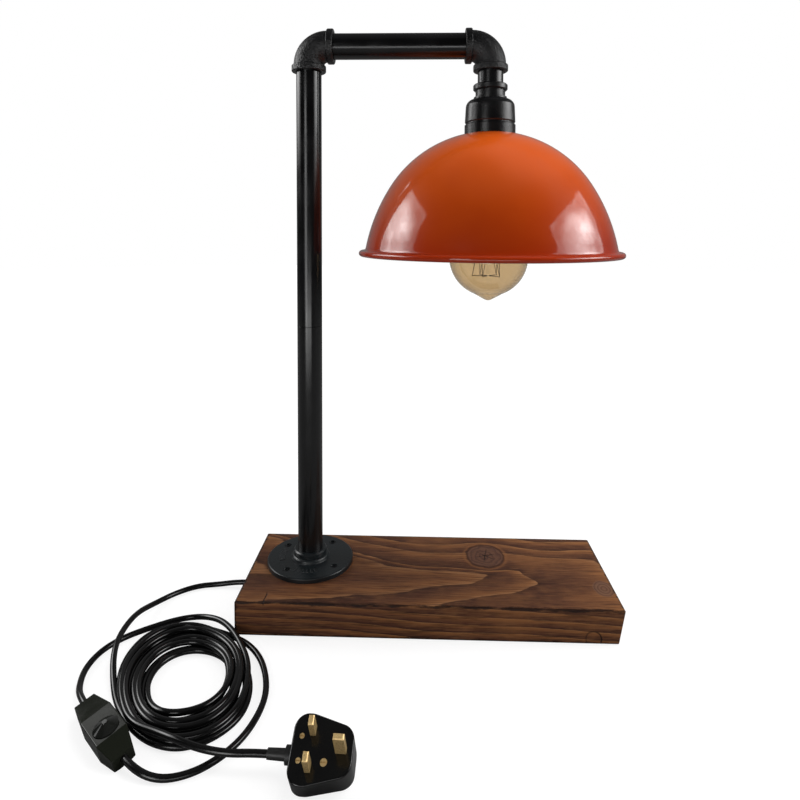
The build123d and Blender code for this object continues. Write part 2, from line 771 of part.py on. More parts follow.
def dimmer_base():
    """Lower half shell, with screw pillars and saddles for the lead."""
    slab = Box(2 * dimmer_length, 2 * dimmer_width, dimmer_parting_height, align=BOTTOM)
    shell = dimmer_case() & slab
    cavity = dimmer_block(dimmer_wall) & slab
    half = dimmer_length / 2
    for side in (-1, 1):
        shell += cavity & Pos(side * (half - dimmer_rib_from_end), 0, 0) * Box(
            3.0, dimmer_width, dimmer_cord_height, align=BOTTOM)
    shell -= dimmer_cord_bore()
    for side in (-1, 1):
        shell += cavity & Pos(side * (half - dimmer_saddle_from_end), 0, 0) * Cylinder(
            1.9, dimmer_cord_height - cord_radius - 0.3, align=BOTTOM)
    return shell - dimmer_side_window()


def dimmer_cover():
    """Upper half shell: sloping ends, level middle with the dished knob seat, side windows."""
    slab = Pos(0, 0, dimmer_parting_height) * Box(2 * dimmer_length, 2 * dimmer_width,
                                                  dimmer_height, align=BOTTOM)
    shell = dimmer_case() & slab
    seat = Pos(knob_offset, 0, dimmer_height - knob_recess)
    floor = Pos(knob_offset, 0, 0) * rod(knob_radius + 1.2, dimmer_height - knob_recess - 1.2,
                                         dimmer_height - 0.1)
    shell += floor
    shell -= seat * Cylinder(knob_radius + knob_gap, knob_recess + 1, align=BOTTOM)
    shell -= Pos(knob_offset, 0, 0) * rod(knob_shaft_radius + 0.5, dimmer_height - 6, dimmer_height + 1)
    shell -= dimmer_cord_bore()
    return shell


def dimmer_knob():
    """Conical dial with a small flat nub, on the control's shaft."""
    foot = dimmer_height - knob_recess + knob_gap
    cone = turned([
        (0, foot), (knob_radius, foot), (knob_radius, foot + knob_bevel_start + 1.0),
        (knob_nub_radius + 0.5, foot + knob_height - 0.6), (knob_nub_radius, foot + knob_height),
        (0, foot + knob_height)])
    low = dimmer_height - dimmer_wall - pot_height + 1.0
    return Pos(knob_offset, 0, 0) * (cone + rod(knob_shaft_radius, low, foot + 0.5))


def dimmer_control():
    """Potentiometer under the knob."""
    top = dimmer_height - knob_recess - 1.2 - 0.1
    body = rod(pot_radius, top - pot_height, top)
    return Pos(knob_offset, 0, 0) * (body - rod(knob_shaft_radius + running_clearance,
                                                top - pot_height + 1, top + 1))


def dimmer_circuit():
    """Circuit board with its square-edged components."""
    top = dimmer_height - knob_recess - 1.3 - pot_height
    board = Pos(-2, 0, top - dimmer_board_thickness) * Box(
        dimmer_board_length, dimmer_board_width, dimmer_board_thickness, align=BOTTOM)
    for x in (-22.0, -13.0):
        board += Pos(x, 0, top) * Box(6.0, 9.0, 3.2, align=BOTTOM)
    return board


# ------------------------------------------------------------------ 13 A plug
def plug_frame():
    """Place of the plug: on the front bevel of its pitched back, pins up and towards the front."""
    lean = Location((0, 0, 0), (plug_roll, 0, 0))
    lift = plug_ridge_width / 2 * math.sin(math.radians(plug_roll))
    turn = Location((plug_place[0], plug_place[1], lift), (0, 0, plug_heading))
    return turn * lean


def plug_plan(inset):
    """Plan of the plug: broad at the lead's end, drawn in towards the earth pin, corners round."""
    half = plug_length / 2 - inset
    wide = plug_width / 2 - inset
    narrow = plug_earth_end_width / 2 - inset
    bend = -plug_length / 2 + plug_taper_start
    outline = Polyline((-half, -wide), (bend, -wide), (half, -narrow), (half, narrow),
                       (bend, wide), (-half, wide), close=True)
    face = make_face(outline)
    ends = [v for v in face.vertices() if abs(abs(v.X) - half) < 0.01]
    face = fillet(ends, plug_corner - inset)
    bends = [v for v in face.vertices() if abs(v.X - bend) < 0.01]
    return fillet(bends, plug_bend)


def plug_back(inset):
    """Cover's block: pitched back, so that it rests on either bevel."""
    block = extrude(plug_plan(inset), amount=plug_cover_depth)
    ridge = plug_ridge_width / 2
    rise = (plug_width / 2 - ridge) * math.tan(math.radians(plug_roll))
    for side in (-1, 1):
        bevel = make_face(Polyline(
            (0, side * ridge, inset), (0, side * plug_width / 2, inset + rise),
            (0, side * plug_width, inset + rise), (0, side * plug_width, -5),
            (0, side * ridge, -5), close=True))
        block -= extrude(bevel, amount=plug_length, dir=(1, 0, 0), both=True)
    if inset:
        block -= Box(2 * plug_length, 2 * plug_width, 2 * inset)
    return block


def plug_lead_bore(radius):
    return Pos(-plug_length / 2, 0, plug_cord_height) * Rot(0, 90, 0) * Cylinder(radius, 3 * plug_wall)


def pin_slots(grow):
    """The three pins' sections, enlarged all round, as upright prisms."""
    span = 200
    low = 0
    prisms = []
    for side in (-1, 1):
        prisms.append(Pos(line_pins_from_middle, side * line_pin_spacing / 2, low) * Box(
            line_pin_thick + 2 * grow, line_pin_width + 2 * grow, span, align=BOTTOM))
    prisms.append(Pos(line_pins_from_middle + earth_pin_ahead, 0, low) * Box(
        earth_pin_width + 2 * grow, earth_pin_thick + 2 * grow, span, align=BOTTOM))
    return prisms


def plug_cover():
    """Back shell."""
    shell = plug_back(0) - plug_back(plug_wall)
    boss = Pos(cover_screw_x(), cover_screw_y(), 0) * Cylinder(3.6, plug_cover_depth, align=BOTTOM)
    shell += boss & plug_back(plug_wall)
    shell -= Pos(cover_screw_x(), cover_screw_y(), 5) * Cylinder(1.55, plug_cover_depth, align=BOTTOM)
    return shell - plug_lead_bore(plug_sleeve_radius + fit_clearance)


def cover_screw_x():
    return line_pins_from_middle + earth_pin_ahead / 2 - 0.5


def cover_screw_y():
    return -line_pin_spacing / 2 + 3.5


def plug_base():
    """Front half: face, skirt and the pockets that hold the pins."""
    low = plug_cover_depth
    high = low + plug_base_depth
    block = Pos(0, 0, low) * extrude(plug_plan(0), amount=plug_base_depth)
    block = fillet(block.faces().sort_by(Axis.Z)[-1].edges(), 1.2)
    hollow = Pos(0, 0, low - 1) * extrude(plug_plan(plug_wall), amount=plug_base_depth - plug_face_wall + 1)
    shell = block - hollow
    pockets = [Pos(0, 0, 0) * (prism & Pos(0, 0, low + 2) * Box(200, 200, plug_base_depth - 3,
                                                               align=BOTTOM))
               for prism in pin_slots(2.2)]
    for pocket in pockets:
        shell += pocket
    for x, y, radius, head in plug_screws():
        shell += Pos(x, y, low + 2) * Cylinder(head + 1.2, plug_base_depth - 3, align=BOTTOM)
        shell -= Pos(x, y, low) * Cylinder(radius + fit_clearance, plug_base_depth + 1, align=BOTTOM)
        shell -= Pos(x, y, high - 2.0) * Cylinder(head + fit_clearance, 3, align=BOTTOM)
    for prism in pin_slots(fit_clearance):
        shell -= prism
    return shell - plug_lead_bore(plug_sleeve_radius + fit_clearance)


def plug_screws():
    """Places, shank and head radii of the two grip screws and the cover screw."""
    grip_x = -plug_length / 2 + 7.0
    half = grip_screw_spacing / 2
    return [(grip_x, half, 1.3, grip_screw_radius), (grip_x, -half, 1.3, grip_screw_radius),
            (cover_screw_x(), cover_screw_y(), 1.5, cover_screw_radius)]


def plug_pins():
    """Solid brass pins: two for the line, a longer one for earth, ends eased."""
    face = plug_cover_depth + plug_base_depth
    pins = []
    for prism, length in zip(pin_slots(0), (line_pin_length, line_pin_length, earth_pin_length)):
        window = Pos(0, 0, face - pin_root) * Box(200, 200, length + pin_root, align=BOTTOM)
        pin = prism & window
        top = pin.faces().sort_by(Axis.Z)[-1]
        pins.append(chamfer(top.edges(), pin_chamfer))
    return pins


def slotted_screw(radius, head, high, low):
    screw = rod(radius, low, high - 1.9) + rod(head, high - 1.95, high - 0.35)
    return screw - Pos(0, 0, high - 0.35) * Box(3 * head, 0.8, 1.3)


def cord_grip_screws():
    face = plug_cover_depth + plug_base_depth
    return Compound([Pos(x, y, 0) * slotted_screw(radius, head, face, plug_cord_height - 4)
                     for x, y, radius, head in plug_screws()[:2]])


def cover_screw():
    x, y, radius, head = plug_screws()[2]
    face = plug_cover_depth + plug_base_depth
    return Pos(x, y, 0) * slotted_screw(radius, head, face, 6.0)


def cord_grip():
    """Bar that the two grip screws pull up against the lead."""
    x = plug_screws()[0][0]
    top = plug_cord_height - cord_radius
    bar = Pos(x, 0, top - 2.4) * Box(5.5, grip_screw_spacing + 6.5, 2.4, align=BOTTOM)
    for side in (-1, 1):
        bar -= Pos(x, side * grip_screw_spacing / 2, 0) * rod(1.3 + fit_clearance, 0, 30)
    return bar


def plug_fuse():
    """Cartridge fuse beside the pins, its caps a little proud of the body."""
    body = Cylinder(fuse_radius - 0.3, fuse_length)
    for side in (-1, 1):
        body += Pos(0, 0, side * (fuse_length / 2 - 3)) * Cylinder(fuse_radius, 6.0)
    return Pos(fuse_x(), fuse_y(), fuse_z()) * Rot(0, 90, 0) * body


def fuse_x():
    return line_pins_from_middle + 9.5


def fuse_y():
    return line_pin_spacing / 2 - 1.6


def fuse_z():
    return plug_cover_depth - 2.2


def fuse_clips():
    """Sprung clips under the fuse caps."""
    clips = []
    for side in (-1, 1):
        outer = Cylinder(fuse_radius + 0.6, 4.0)
        clip = outer - Cylinder(fuse_radius + 0.02, 5.0)
        clip -= Pos(fuse_radius + 1, 0, 0) * Box(2 * fuse_radius, 8, 6)
        clips.append(Pos(fuse_x() + side * (fuse_length / 2 - 3), fuse_y(), fuse_z())
                     * Rot(0, 90, 0) * clip)
    return Compound(clips)


def plug_sleeve():
    """Flexible sleeve and collar round the lead where it enters the plug."""
    start = -plug_length / 2 - plug_sleeve_length
    wall_end = -plug_length / 2 + plug_wall + 2.0
    sleeve = Pos(start, 0, plug_cord_height) * Rot(0, 90, 0) * Cone(
        plug_sleeve_radius - 0.6, plug_sleeve_radius, wall_end - start, align=BOTTOM)
    collar = Pos(-plug_length / 2 - plug_collar_length - 0.1, 0, plug_cord_height) * Rot(
        0, 90, 0) * Cylinder(plug_collar_radius, plug_collar_length, align=BOTTOM)
    bore = Pos(start - 1, 0, plug_cord_height) * Rot(0, 90, 0) * Cylinder(
        cord_radius + fit_clearance, wall_end - start + 2, align=BOTTOM)
    return sleeve + collar - bore


# ------------------------------------------------------------------ free lead on the table
table = cord_on_table
hump = 11.2                 # height at which it passes over another stretch of itself
over = 14.0                 # and over the turns of the coil
exit_x = -board_length / 2 - grommet_lip


def in_dimmer(x):
    """Point of the lead's line through the dimmer, the given distance from its middle."""
    return tuple((dimmer_frame() * Pos(x, 0, dimmer_cord_height)).position)


def in_plug(x):
    return tuple((plug_frame() * Pos(x, 0, plug_cord_height)).position)


dimmer_entry = dimmer_length / 2 - dimmer_cord_inside
plug_entry = -plug_length / 2 + plug_cord_inside
lamp_lead_route = [
    (exit_x, riser_y, channel_axis_height), (exit_x - 17.5, riser_y, channel_axis_height),
    (-233, 12.5, table), (-256, 8.5, table), (-275.5, -5.5, table), (-289, -27, 4.5),
    (-296.5, -54, hump), (-298, -82, hump), (-292.5, -110, 10.5), (-281, -134, 8.0),
]
dimmer_lead_route = [
    in_dimmer(-dimmer_entry), in_dimmer(-dimmer_entry - 19.5), (-306, -144, table),
    (-312.5, -122, table), (-310, -99, table), (-298, -80, table), (-279, -65, table),
    (-259, -52, table), (-238, -46, table), (-219, -50.5, 4.5), (-204, -63, hump),
    (-189, -79, hump), (-177, -95, 9.0),
]
outer_loop_route = [
    in_dimmer(dimmer_entry), in_dimmer(dimmer_entry + 19.5), (-199, -231.5, table),
    (-177, -226, table), (-160, -212, table), (-148, -194, table), (-141.5, -172, table),
    (-140, -149, table), (-145.5, -126, table), (-156.5, -103, table), (-172.5, -85, table),
    (-190, -75, table), (-206, -70, 4.5),
]
plug_lead_route = [
    in_plug(plug_entry), in_plug(plug_entry - 31), (-151, -219.5, over), (-173, -216, over),
    (-194, -208.5, over), (-212, -199, 11.0), (-226, -188, 9.0),
]

coil_middle = (-216.5, -133.2)
coil_outer = (87.0, 58.0)
coil_heading = 130.3
coil_hole_middle = (-211.3, -138.7)
coil_hole = (35.5, 31.0)
coil_hole_heading = 123.6
coil_height = 13.0


def cord_tube(name, points):
    """Tube of lead along straight runs, each corner rounded as far as its two runs allow."""
    radii = []
    corners = [Vector(*p) for p in points]
    for before, corner, after in zip(corners, corners[1:], corners[2:]):
        turn = math.radians((corner - before).get_angle(after - corner))
        shorter = min((corner - before).length, (after - corner).length)
        radii.append(0.45 * shorter / math.tan(turn / 2))
    route = FilletPolyline(*points, radius=radii)
    tube = sweep(Plane(origin=points[0], z_dir=route % 0) * Circle(cord_radius), path=route)
    true_volume = math.pi * cord_radius ** 2 * route.length
    print(f"{name}: length {route.length:.1f}, radii {[round(r) for r in radii]}, "
          f"volume ratio {tube.volume / true_volume:.4f}")
    return tube


def cord_coil():
    """Outer shape of the loosely coiled turns."""
    full = Pos(*coil_middle) * Rot(0, 0, coil_heading) * Ellipse(*coil_outer)
    hole = Pos(*coil_hole_middle) * Rot(0, 0, coil_hole_heading) * Ellipse(*coil_hole)
    return Pos(0, 0, coil_clearance) * extrude(full - hole, amount=coil_height - coil_clearance)


# ------------------------------------------------------------------ writing the pieces
os.makedirs("parts", exist_ok=True)

save("base_board", base_board())
save("cable_grommet", cable_grommet())
save("floor_flange", floor_flange())
save("flange_screws", flange_screws())
save("riser_lower", riser * Pos(0, 0, pipe_foot_z) * pipe(lower_pipe_length))
save("riser_joiner", riser_joiner())
save("riser_upper", riser * Pos(0, 0, seam_z) * pipe(upper_pipe_length))
save("lead_in_riser", lead_through(
    [(exit_x, riser_y, channel_axis_height), (riser_x, riser_y, channel_axis_height),
     (riser_x, riser_y, left_elbow_foot_z)], inner_bend_radius))

save("elbow_left", Pos(riser_x, riser_y, arm_z) * elbow())
save("arm_pipe", Pos(arm_start_x, riser_y, arm_z) * Rot(0, 90, 0) * pipe(arm_pipe_length))
save("lead_in_arm", lead_through(
    [(riser_x, riser_y, left_elbow_foot_z), (riser_x, riser_y, arm_z),
     (right_elbow_face_x, riser_y, arm_z)], elbow_bend_radius))

save("elbow_right", head * Rot(0, 0, 180) * elbow())
save("drop_nipple", head * Pos(0, 0, nipple_foot) * pipe(nipple_length))
save("reducing_socket", head * reducing_socket())
save("lead_in_head", lead_through(
    [(right_elbow_face_x, riser_y, arm_z), (drop_x, riser_y, arm_z),
     (drop_x, riser_y, arm_z + holder_top - holder_boss_height - 0.9)], elbow_bend_radius))
save("holder_bush", head * holder_bush())
save("stem_tube", head * stem_tube())
save("shade", head * shade())
save("clamp_washer", head * clamp_washer())
save("clamp_nut", head * clamp_nut())
save("holder_cap", head * holder_cap())
save("holder_body", head * holder_body())
save("contact_block", head * contact_block())
save("thread_sleeve", head * thread_sleeve())
save("centre_contact", head * centre_contact())
save("terminal_screws", head * terminal_screws())
save("holder_cores", head * holder_cores())

save("bulb_tip", head * bulb_tip())
save("bulb_cap", head * bulb_cap())
save("bulb_glass", head * bulb_glass())
save("bulb_mount", head * bulb_mount())
save("filament", head * filament())

dimmer_at = dimmer_frame()
save("dimmer_base", dimmer_at * dimmer_base())
save("dimmer_cover", dimmer_at * dimmer_cover())
save("dimmer_knob", dimmer_at * dimmer_knob())
save("dimmer_control", dimmer_at * dimmer_control())
save("dimmer_circuit", dimmer_at * dimmer_circuit())

plug_at = plug_frame()
save("plug_cover", plug_at * plug_cover())
save("plug_base", plug_at * plug_base())
neutral_pin, live_pin, earth_pin = plug_pins()
save("plug_live_pin", plug_at * live_pin)
save("plug_neutral_pin", plug_at * neutral_pin)
save("plug_earth_pin", plug_at * earth_pin)
save("plug_fuse", plug_at * plug_fuse())
save("plug_fuse_clips", plug_at * fuse_clips())
save("cord_grip", plug_at * cord_grip())
save("cord_grip_screws", plug_at * cord_grip_screws())
save("cover_screw", plug_at * cover_screw())
save("plug_sleeve", plug_at * plug_sleeve())

save("lamp_lead", cord_tube("lamp_lead", lamp_lead_route))
save("dimmer_lead", cord_tube("dimmer_lead", dimmer_lead_route))
save("outer_loop", cord_tube("outer_loop", outer_loop_route))
save("plug_lead", cord_tube("plug_lead", plug_lead_route))
save("cord_coil", cord_coil())

print(f"arm axis z {arm_z:.2f}, drop x {drop_x:.2f}, riser ({riser_x:.2f}, {riser_y:.2f})")
print(f"crown {arm_z + crown_top:.2f}, holder mouth {arm_z + holder_mouth:.2f}, "
      f"bulb middle {arm_z + bulb_middle:.2f}")
knob_seat = dimmer_at * Pos(knob_offset, 0, dimmer_height)
print("knob seat", knob_seat.position, "axis", (knob_seat * Pos(0, 0, 1)).position - knob_seat.position)
for label, spot in [("far end", (-dimmer_length / 2, 0, dimmer_cord_height)),
                    ("near end", (dimmer_length / 2, 0, dimmer_cord_height))]:
    print("dimmer", label, (dimmer_at * Pos(*spot)).position)
print("sleeve end", (plug_at * Pos(-plug_length / 2 - plug_sleeve_length, 0, plug_cord_height)).position)
print("plug face", (plug_at * Pos(0, 0, plug_cover_depth + plug_base_depth)).position)
for label, points in [("dimmer lead", dimmer_lead_route), ("outer loop", outer_loop_route),
                      ("plug lead", plug_lead_route)]:
    print(label, "starts", [tuple(round(c, 2) for c in p) for p in points[:2]])
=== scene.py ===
# %% [markdown]
# # A pipe lamp on a pine plank
# The frame holds the packed lamp: every pipe, fitting, screw and lampholder part at its real size
# and place. This notebook gives those parts their finishes, models the pieces whose looks need a
# finer mesh (the enamelled shade, the globe of the bulb and the two lengths of flex), and lights
# them plainly.

# %% Load the lamp and keep its box
import json
import math
import bpy
from mathutils import Matrix, Vector


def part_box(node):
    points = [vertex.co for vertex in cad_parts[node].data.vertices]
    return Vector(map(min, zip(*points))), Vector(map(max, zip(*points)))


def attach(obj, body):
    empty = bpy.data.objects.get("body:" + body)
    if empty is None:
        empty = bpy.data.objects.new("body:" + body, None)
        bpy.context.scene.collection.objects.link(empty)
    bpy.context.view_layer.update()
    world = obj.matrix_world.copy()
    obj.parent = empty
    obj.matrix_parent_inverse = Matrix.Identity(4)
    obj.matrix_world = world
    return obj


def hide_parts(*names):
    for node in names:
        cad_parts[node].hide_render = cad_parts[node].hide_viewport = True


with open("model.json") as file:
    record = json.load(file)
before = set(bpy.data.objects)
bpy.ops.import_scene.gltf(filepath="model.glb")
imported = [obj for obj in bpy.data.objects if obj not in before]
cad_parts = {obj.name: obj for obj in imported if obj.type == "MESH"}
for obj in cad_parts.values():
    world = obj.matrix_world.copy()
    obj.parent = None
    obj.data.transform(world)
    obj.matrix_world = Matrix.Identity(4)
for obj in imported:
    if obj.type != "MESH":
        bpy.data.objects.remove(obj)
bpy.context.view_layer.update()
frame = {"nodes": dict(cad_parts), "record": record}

# %% [markdown]
# ## The camera
# A product picture of a tall lamp on a table is taken from a little above half its height, nearly
# level, with a wide lens close by. The lens is shifted down instead of tilting the camera, so
# that the riser stays upright in the picture.

# %% Place the camera
CAMERA_PLACE = Vector((-0.0111, -0.6498, 0.4043))
CAMERA_TURN = math.radians(1.78)
CAMERA_DIP = math.radians(3.03)
CAMERA_ROLL = math.radians(0.25)
CAMERA_LENS = 27.558
CAMERA_SHIFT = -0.175


def aim_camera():
    camera = bpy.data.objects.new("camera", bpy.data.cameras.new("camera"))
    bpy.context.collection.objects.link(camera)
    turn = Matrix.Rotation(CAMERA_TURN, 4, "Z")
    level = Matrix.Rotation(math.pi / 2 - CAMERA_DIP, 4, "X")
    roll = Matrix.Rotation(CAMERA_ROLL, 4, "Z")
    camera.matrix_world = Matrix.Translation(CAMERA_PLACE) @ turn @ level @ roll
    camera.data.lens = CAMERA_LENS
    camera.data.shift_y = CAMERA_SHIFT
    bpy.context.scene.camera = camera
    return camera


camera = aim_camera()
bpy.context.scene.view_settings.view_transform = "Standard"
print("camera at", tuple(round(v, 3) for v in camera.matrix_world.translation))

# %% [markdown]
# ## The mains lead
# The lamp's lead is two lengths of round black flex with a dimmer between them. Both are wound
# together into one loose coil beside the plank: flex keeps some of the roundness of the drum that
# it came from, so it lies in easy ellipses that fan out where nothing ties them. A physics run
# could let it fall, but not into a given place. So each length is one smooth curve whose control
# points are where a hand would push the flex, and a loop works out the turns of the coil.

# %% Sizes of the flex and its coil
CORD_DIAMETER = 0.0054
COIL_MIDDLE = (-0.2165, -0.1332)        # of the outermost turns, and of the innermost ones
HOLE_MIDDLE = (-0.2113, -0.1387)
COIL_HEADING = 130.3
HOLE_HEADING = 123.6
COIL_OUTER = (0.0835, 0.0560)           # half a turn, the long way and the short way
COIL_INNER = (0.0382, 0.0337)
TOP_SHIFT = (-0.0018, 0.0024)           # the turns on top have slid over the ones on the table
TOP_TURN = -9.0
SHARE_PER_TURN = 0.42                   # of the ring's width
POINTS_PER_TURN = 18
LAMP_FLEX_LOW = 0.00275                 # heights of the middle of the flex
PLUG_FLEX_LOW = 0.0040
HIGH_LAYER = 0.00850
CLIMB = (-20, 100)                      # degrees round the turn back in which the flex climbs
WANDER = ((0.0012, 1.37, 0.4), (0.0008, 2.83, 2.0))     # reach in metres, waves a turn, start
RIPPLE = ((0.012, 3, 0.7), (0.008, 5, 2.1))             # the same, with the reach as a share
print("coil:", [round(2000 * half) for half in COIL_OUTER], "mm outside,",
      [round(2000 * half) for half in COIL_INNER], "mm inside")


def between(low, high, share):
    return low + (high - low) * share


def eased(value, low, high):
    """0 below low, 1 above high, and a smooth step from one to the other."""
    share = min(max((value - low) / (high - low), 0), 1)
    return share * share * (3 - 2 * share)


def swayed(degrees, waves):
    """Sum of slow waves round the coil, for a flex that was wound by hand."""
    angle = math.radians(degrees)
    return sum(reach * math.sin(pace * angle + start) for reach, pace, start in waves)


def coil_point(degrees, share, low, lifted):
    """A point of the coil: share is 0 at its inner edge and 1 at its outer one."""
    angle = math.radians(degrees)
    heading = math.radians(between(HOLE_HEADING, COIL_HEADING, share) + lifted * TOP_TURN)
    ripple = 1 + swayed(degrees, RIPPLE)
    long_half = (between(COIL_INNER[0], COIL_OUTER[0], share) + swayed(degrees, WANDER)) * ripple
    short_half = between(COIL_INNER[1], COIL_OUTER[1], share) * ripple
    along, across = long_half * math.cos(angle), short_half * math.sin(angle)
    x = between(HOLE_MIDDLE[0], COIL_MIDDLE[0], share) + lifted * TOP_SHIFT[0]
    y = between(HOLE_MIDDLE[1], COIL_MIDDLE[1], share) + lifted * TOP_SHIFT[1]
    x += along * math.cos(heading) - across * math.sin(heading)
    y += along * math.sin(heading) + across * math.cos(heading)
    return x, y, between(low, HIGH_LAYER, lifted)


def wound(start, turned_back, stop, low):
    """Turns in degrees: inwards on the table from start, and outwards on top of them to stop."""
    steps = math.ceil((stop - start) * POINTS_PER_TURN / 360)
    points = []
    for step in range(steps + 1):
        degrees = between(start, stop, step / steps)
        share = abs(degrees - turned_back) * SHARE_PER_TURN / 360
        lifted = eased(degrees, turned_back + CLIMB[0], turned_back + CLIMB[1])
        points.append(coil_point(degrees, share, low, lifted))
    return points


# %% Routes of the two lengths
LAMP_LEAD = (
    (-0.1935, 0.0115, 0.0065), (-0.2110, 0.0115, 0.0065), (-0.2330, 0.0125, 0.00275),
    (-0.2560, 0.0085, 0.00275), (-0.2755, -0.0055, 0.00275), (-0.2890, -0.0270, 0.0045),
    (-0.2965, -0.0540, 0.0112), (-0.2980, -0.0820, 0.0112), (-0.2925, -0.1100, 0.0105))
DIMMER_LEAD = (
    (-0.1770, -0.0950, 0.0095), (-0.1895, -0.0785, 0.0112), (-0.2050, -0.0630, 0.0106),
    (-0.2215, -0.0520, 0.0072), (-0.2400, -0.0478, 0.0042),
    (-0.2590, -0.0520, 0.00275), (-0.2790, -0.0650, 0.00275), (-0.2980, -0.0800, 0.00275),
    (-0.3100, -0.0990, 0.00275), (-0.3125, -0.1220, 0.00275), (-0.3060, -0.1440, 0.00275),
    (-0.29434, -0.16234, 0.00699), (-0.27962, -0.17513, 0.00699))
OUTER_LOOP = (
    (-0.23510, -0.21384, 0.00699), (-0.22038, -0.22664, 0.00699), (-0.1990, -0.2315, 0.00275),
    (-0.1770, -0.2260, 0.00275), (-0.1600, -0.2120, 0.00275), (-0.1480, -0.1940, 0.00275),
    (-0.1415, -0.1720, 0.00275), (-0.1400, -0.1490, 0.00275), (-0.1455, -0.1260, 0.00275),
    (-0.1565, -0.1030, 0.00275), (-0.1725, -0.0850, 0.00275), (-0.1900, -0.0750, 0.00275))
PLUG_LEAD = (
    (-0.2120, -0.1990, 0.0110), (-0.1940, -0.2085, 0.0140), (-0.1730, -0.2160, 0.0140),
    (-0.1510, -0.2195, 0.0140), (-0.12883, -0.21822, 0.01412), (-0.09786, -0.21957, 0.01412))

LAMP_FLEX_TURNS = (66, 923, 1700)       # degrees: into the coil, turned back, and out of it
PLUG_FLEX_TURNS = (306, 1163, 1918)

to_dimmer = list(LAMP_LEAD) + wound(*LAMP_FLEX_TURNS, LAMP_FLEX_LOW) + list(DIMMER_LEAD)
to_plug = list(OUTER_LOOP) + wound(*PLUG_FLEX_TURNS, PLUG_FLEX_LOW) + list(PLUG_LEAD)
print("control points:", len(to_dimmer), "and", len(to_plug))

# %% Lay the flexes


def flex(name, points):
    """Round flex along a smooth curve with these control points."""
    data = bpy.data.curves.new(name, "CURVE")
    data.dimensions = "3D"
    data.bevel_depth = 1.0
    data.bevel_resolution = 4
    data.resolution_u = 6
    data.use_fill_caps = True
    spline = data.splines.new("NURBS")
    spline.points.add(len(points) - 1)
    for knot, point in zip(spline.points, points):
        knot.co = (*point, 1)
        knot.radius = CORD_DIAMETER / 2
    spline.order_u = 3
    spline.use_endpoint_u = True
    lead = bpy.data.objects.new(name, data)
    bpy.context.collection.objects.link(lead)
    return lead


lamp_flex = flex("flex_lamp_to_dimmer", to_dimmer)
plug_flex = flex("flex_dimmer_to_plug", to_plug)
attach(lamp_flex, "base")
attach(plug_flex, "base")
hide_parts("lamp_lead", "dimmer_lead", "cord_coil")
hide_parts("outer_loop", "plug_lead", "cord_coil")
print("the flexes ride on the base and take the place of its five cord solids")

# %% [markdown]
# ## Floor and light
# The lamp stands on a pale floor that runs out of sight behind it. The floor is painted by its
# own distance from the lamp: near it, it takes shadows, and further out it is as white as the
# backdrop. Light comes from a broad panel overhead and from a window at each side. Two low
# strips, at the left and in front, draw the bright lines along the riser and the arm. The side
# behind the camera stays dim, as in a room, so that glossy enamel and black paint have something
# dark to mirror.

# %% A short way to wire shader nodes


def is_socket(value):
    return hasattr(value, "is_output")


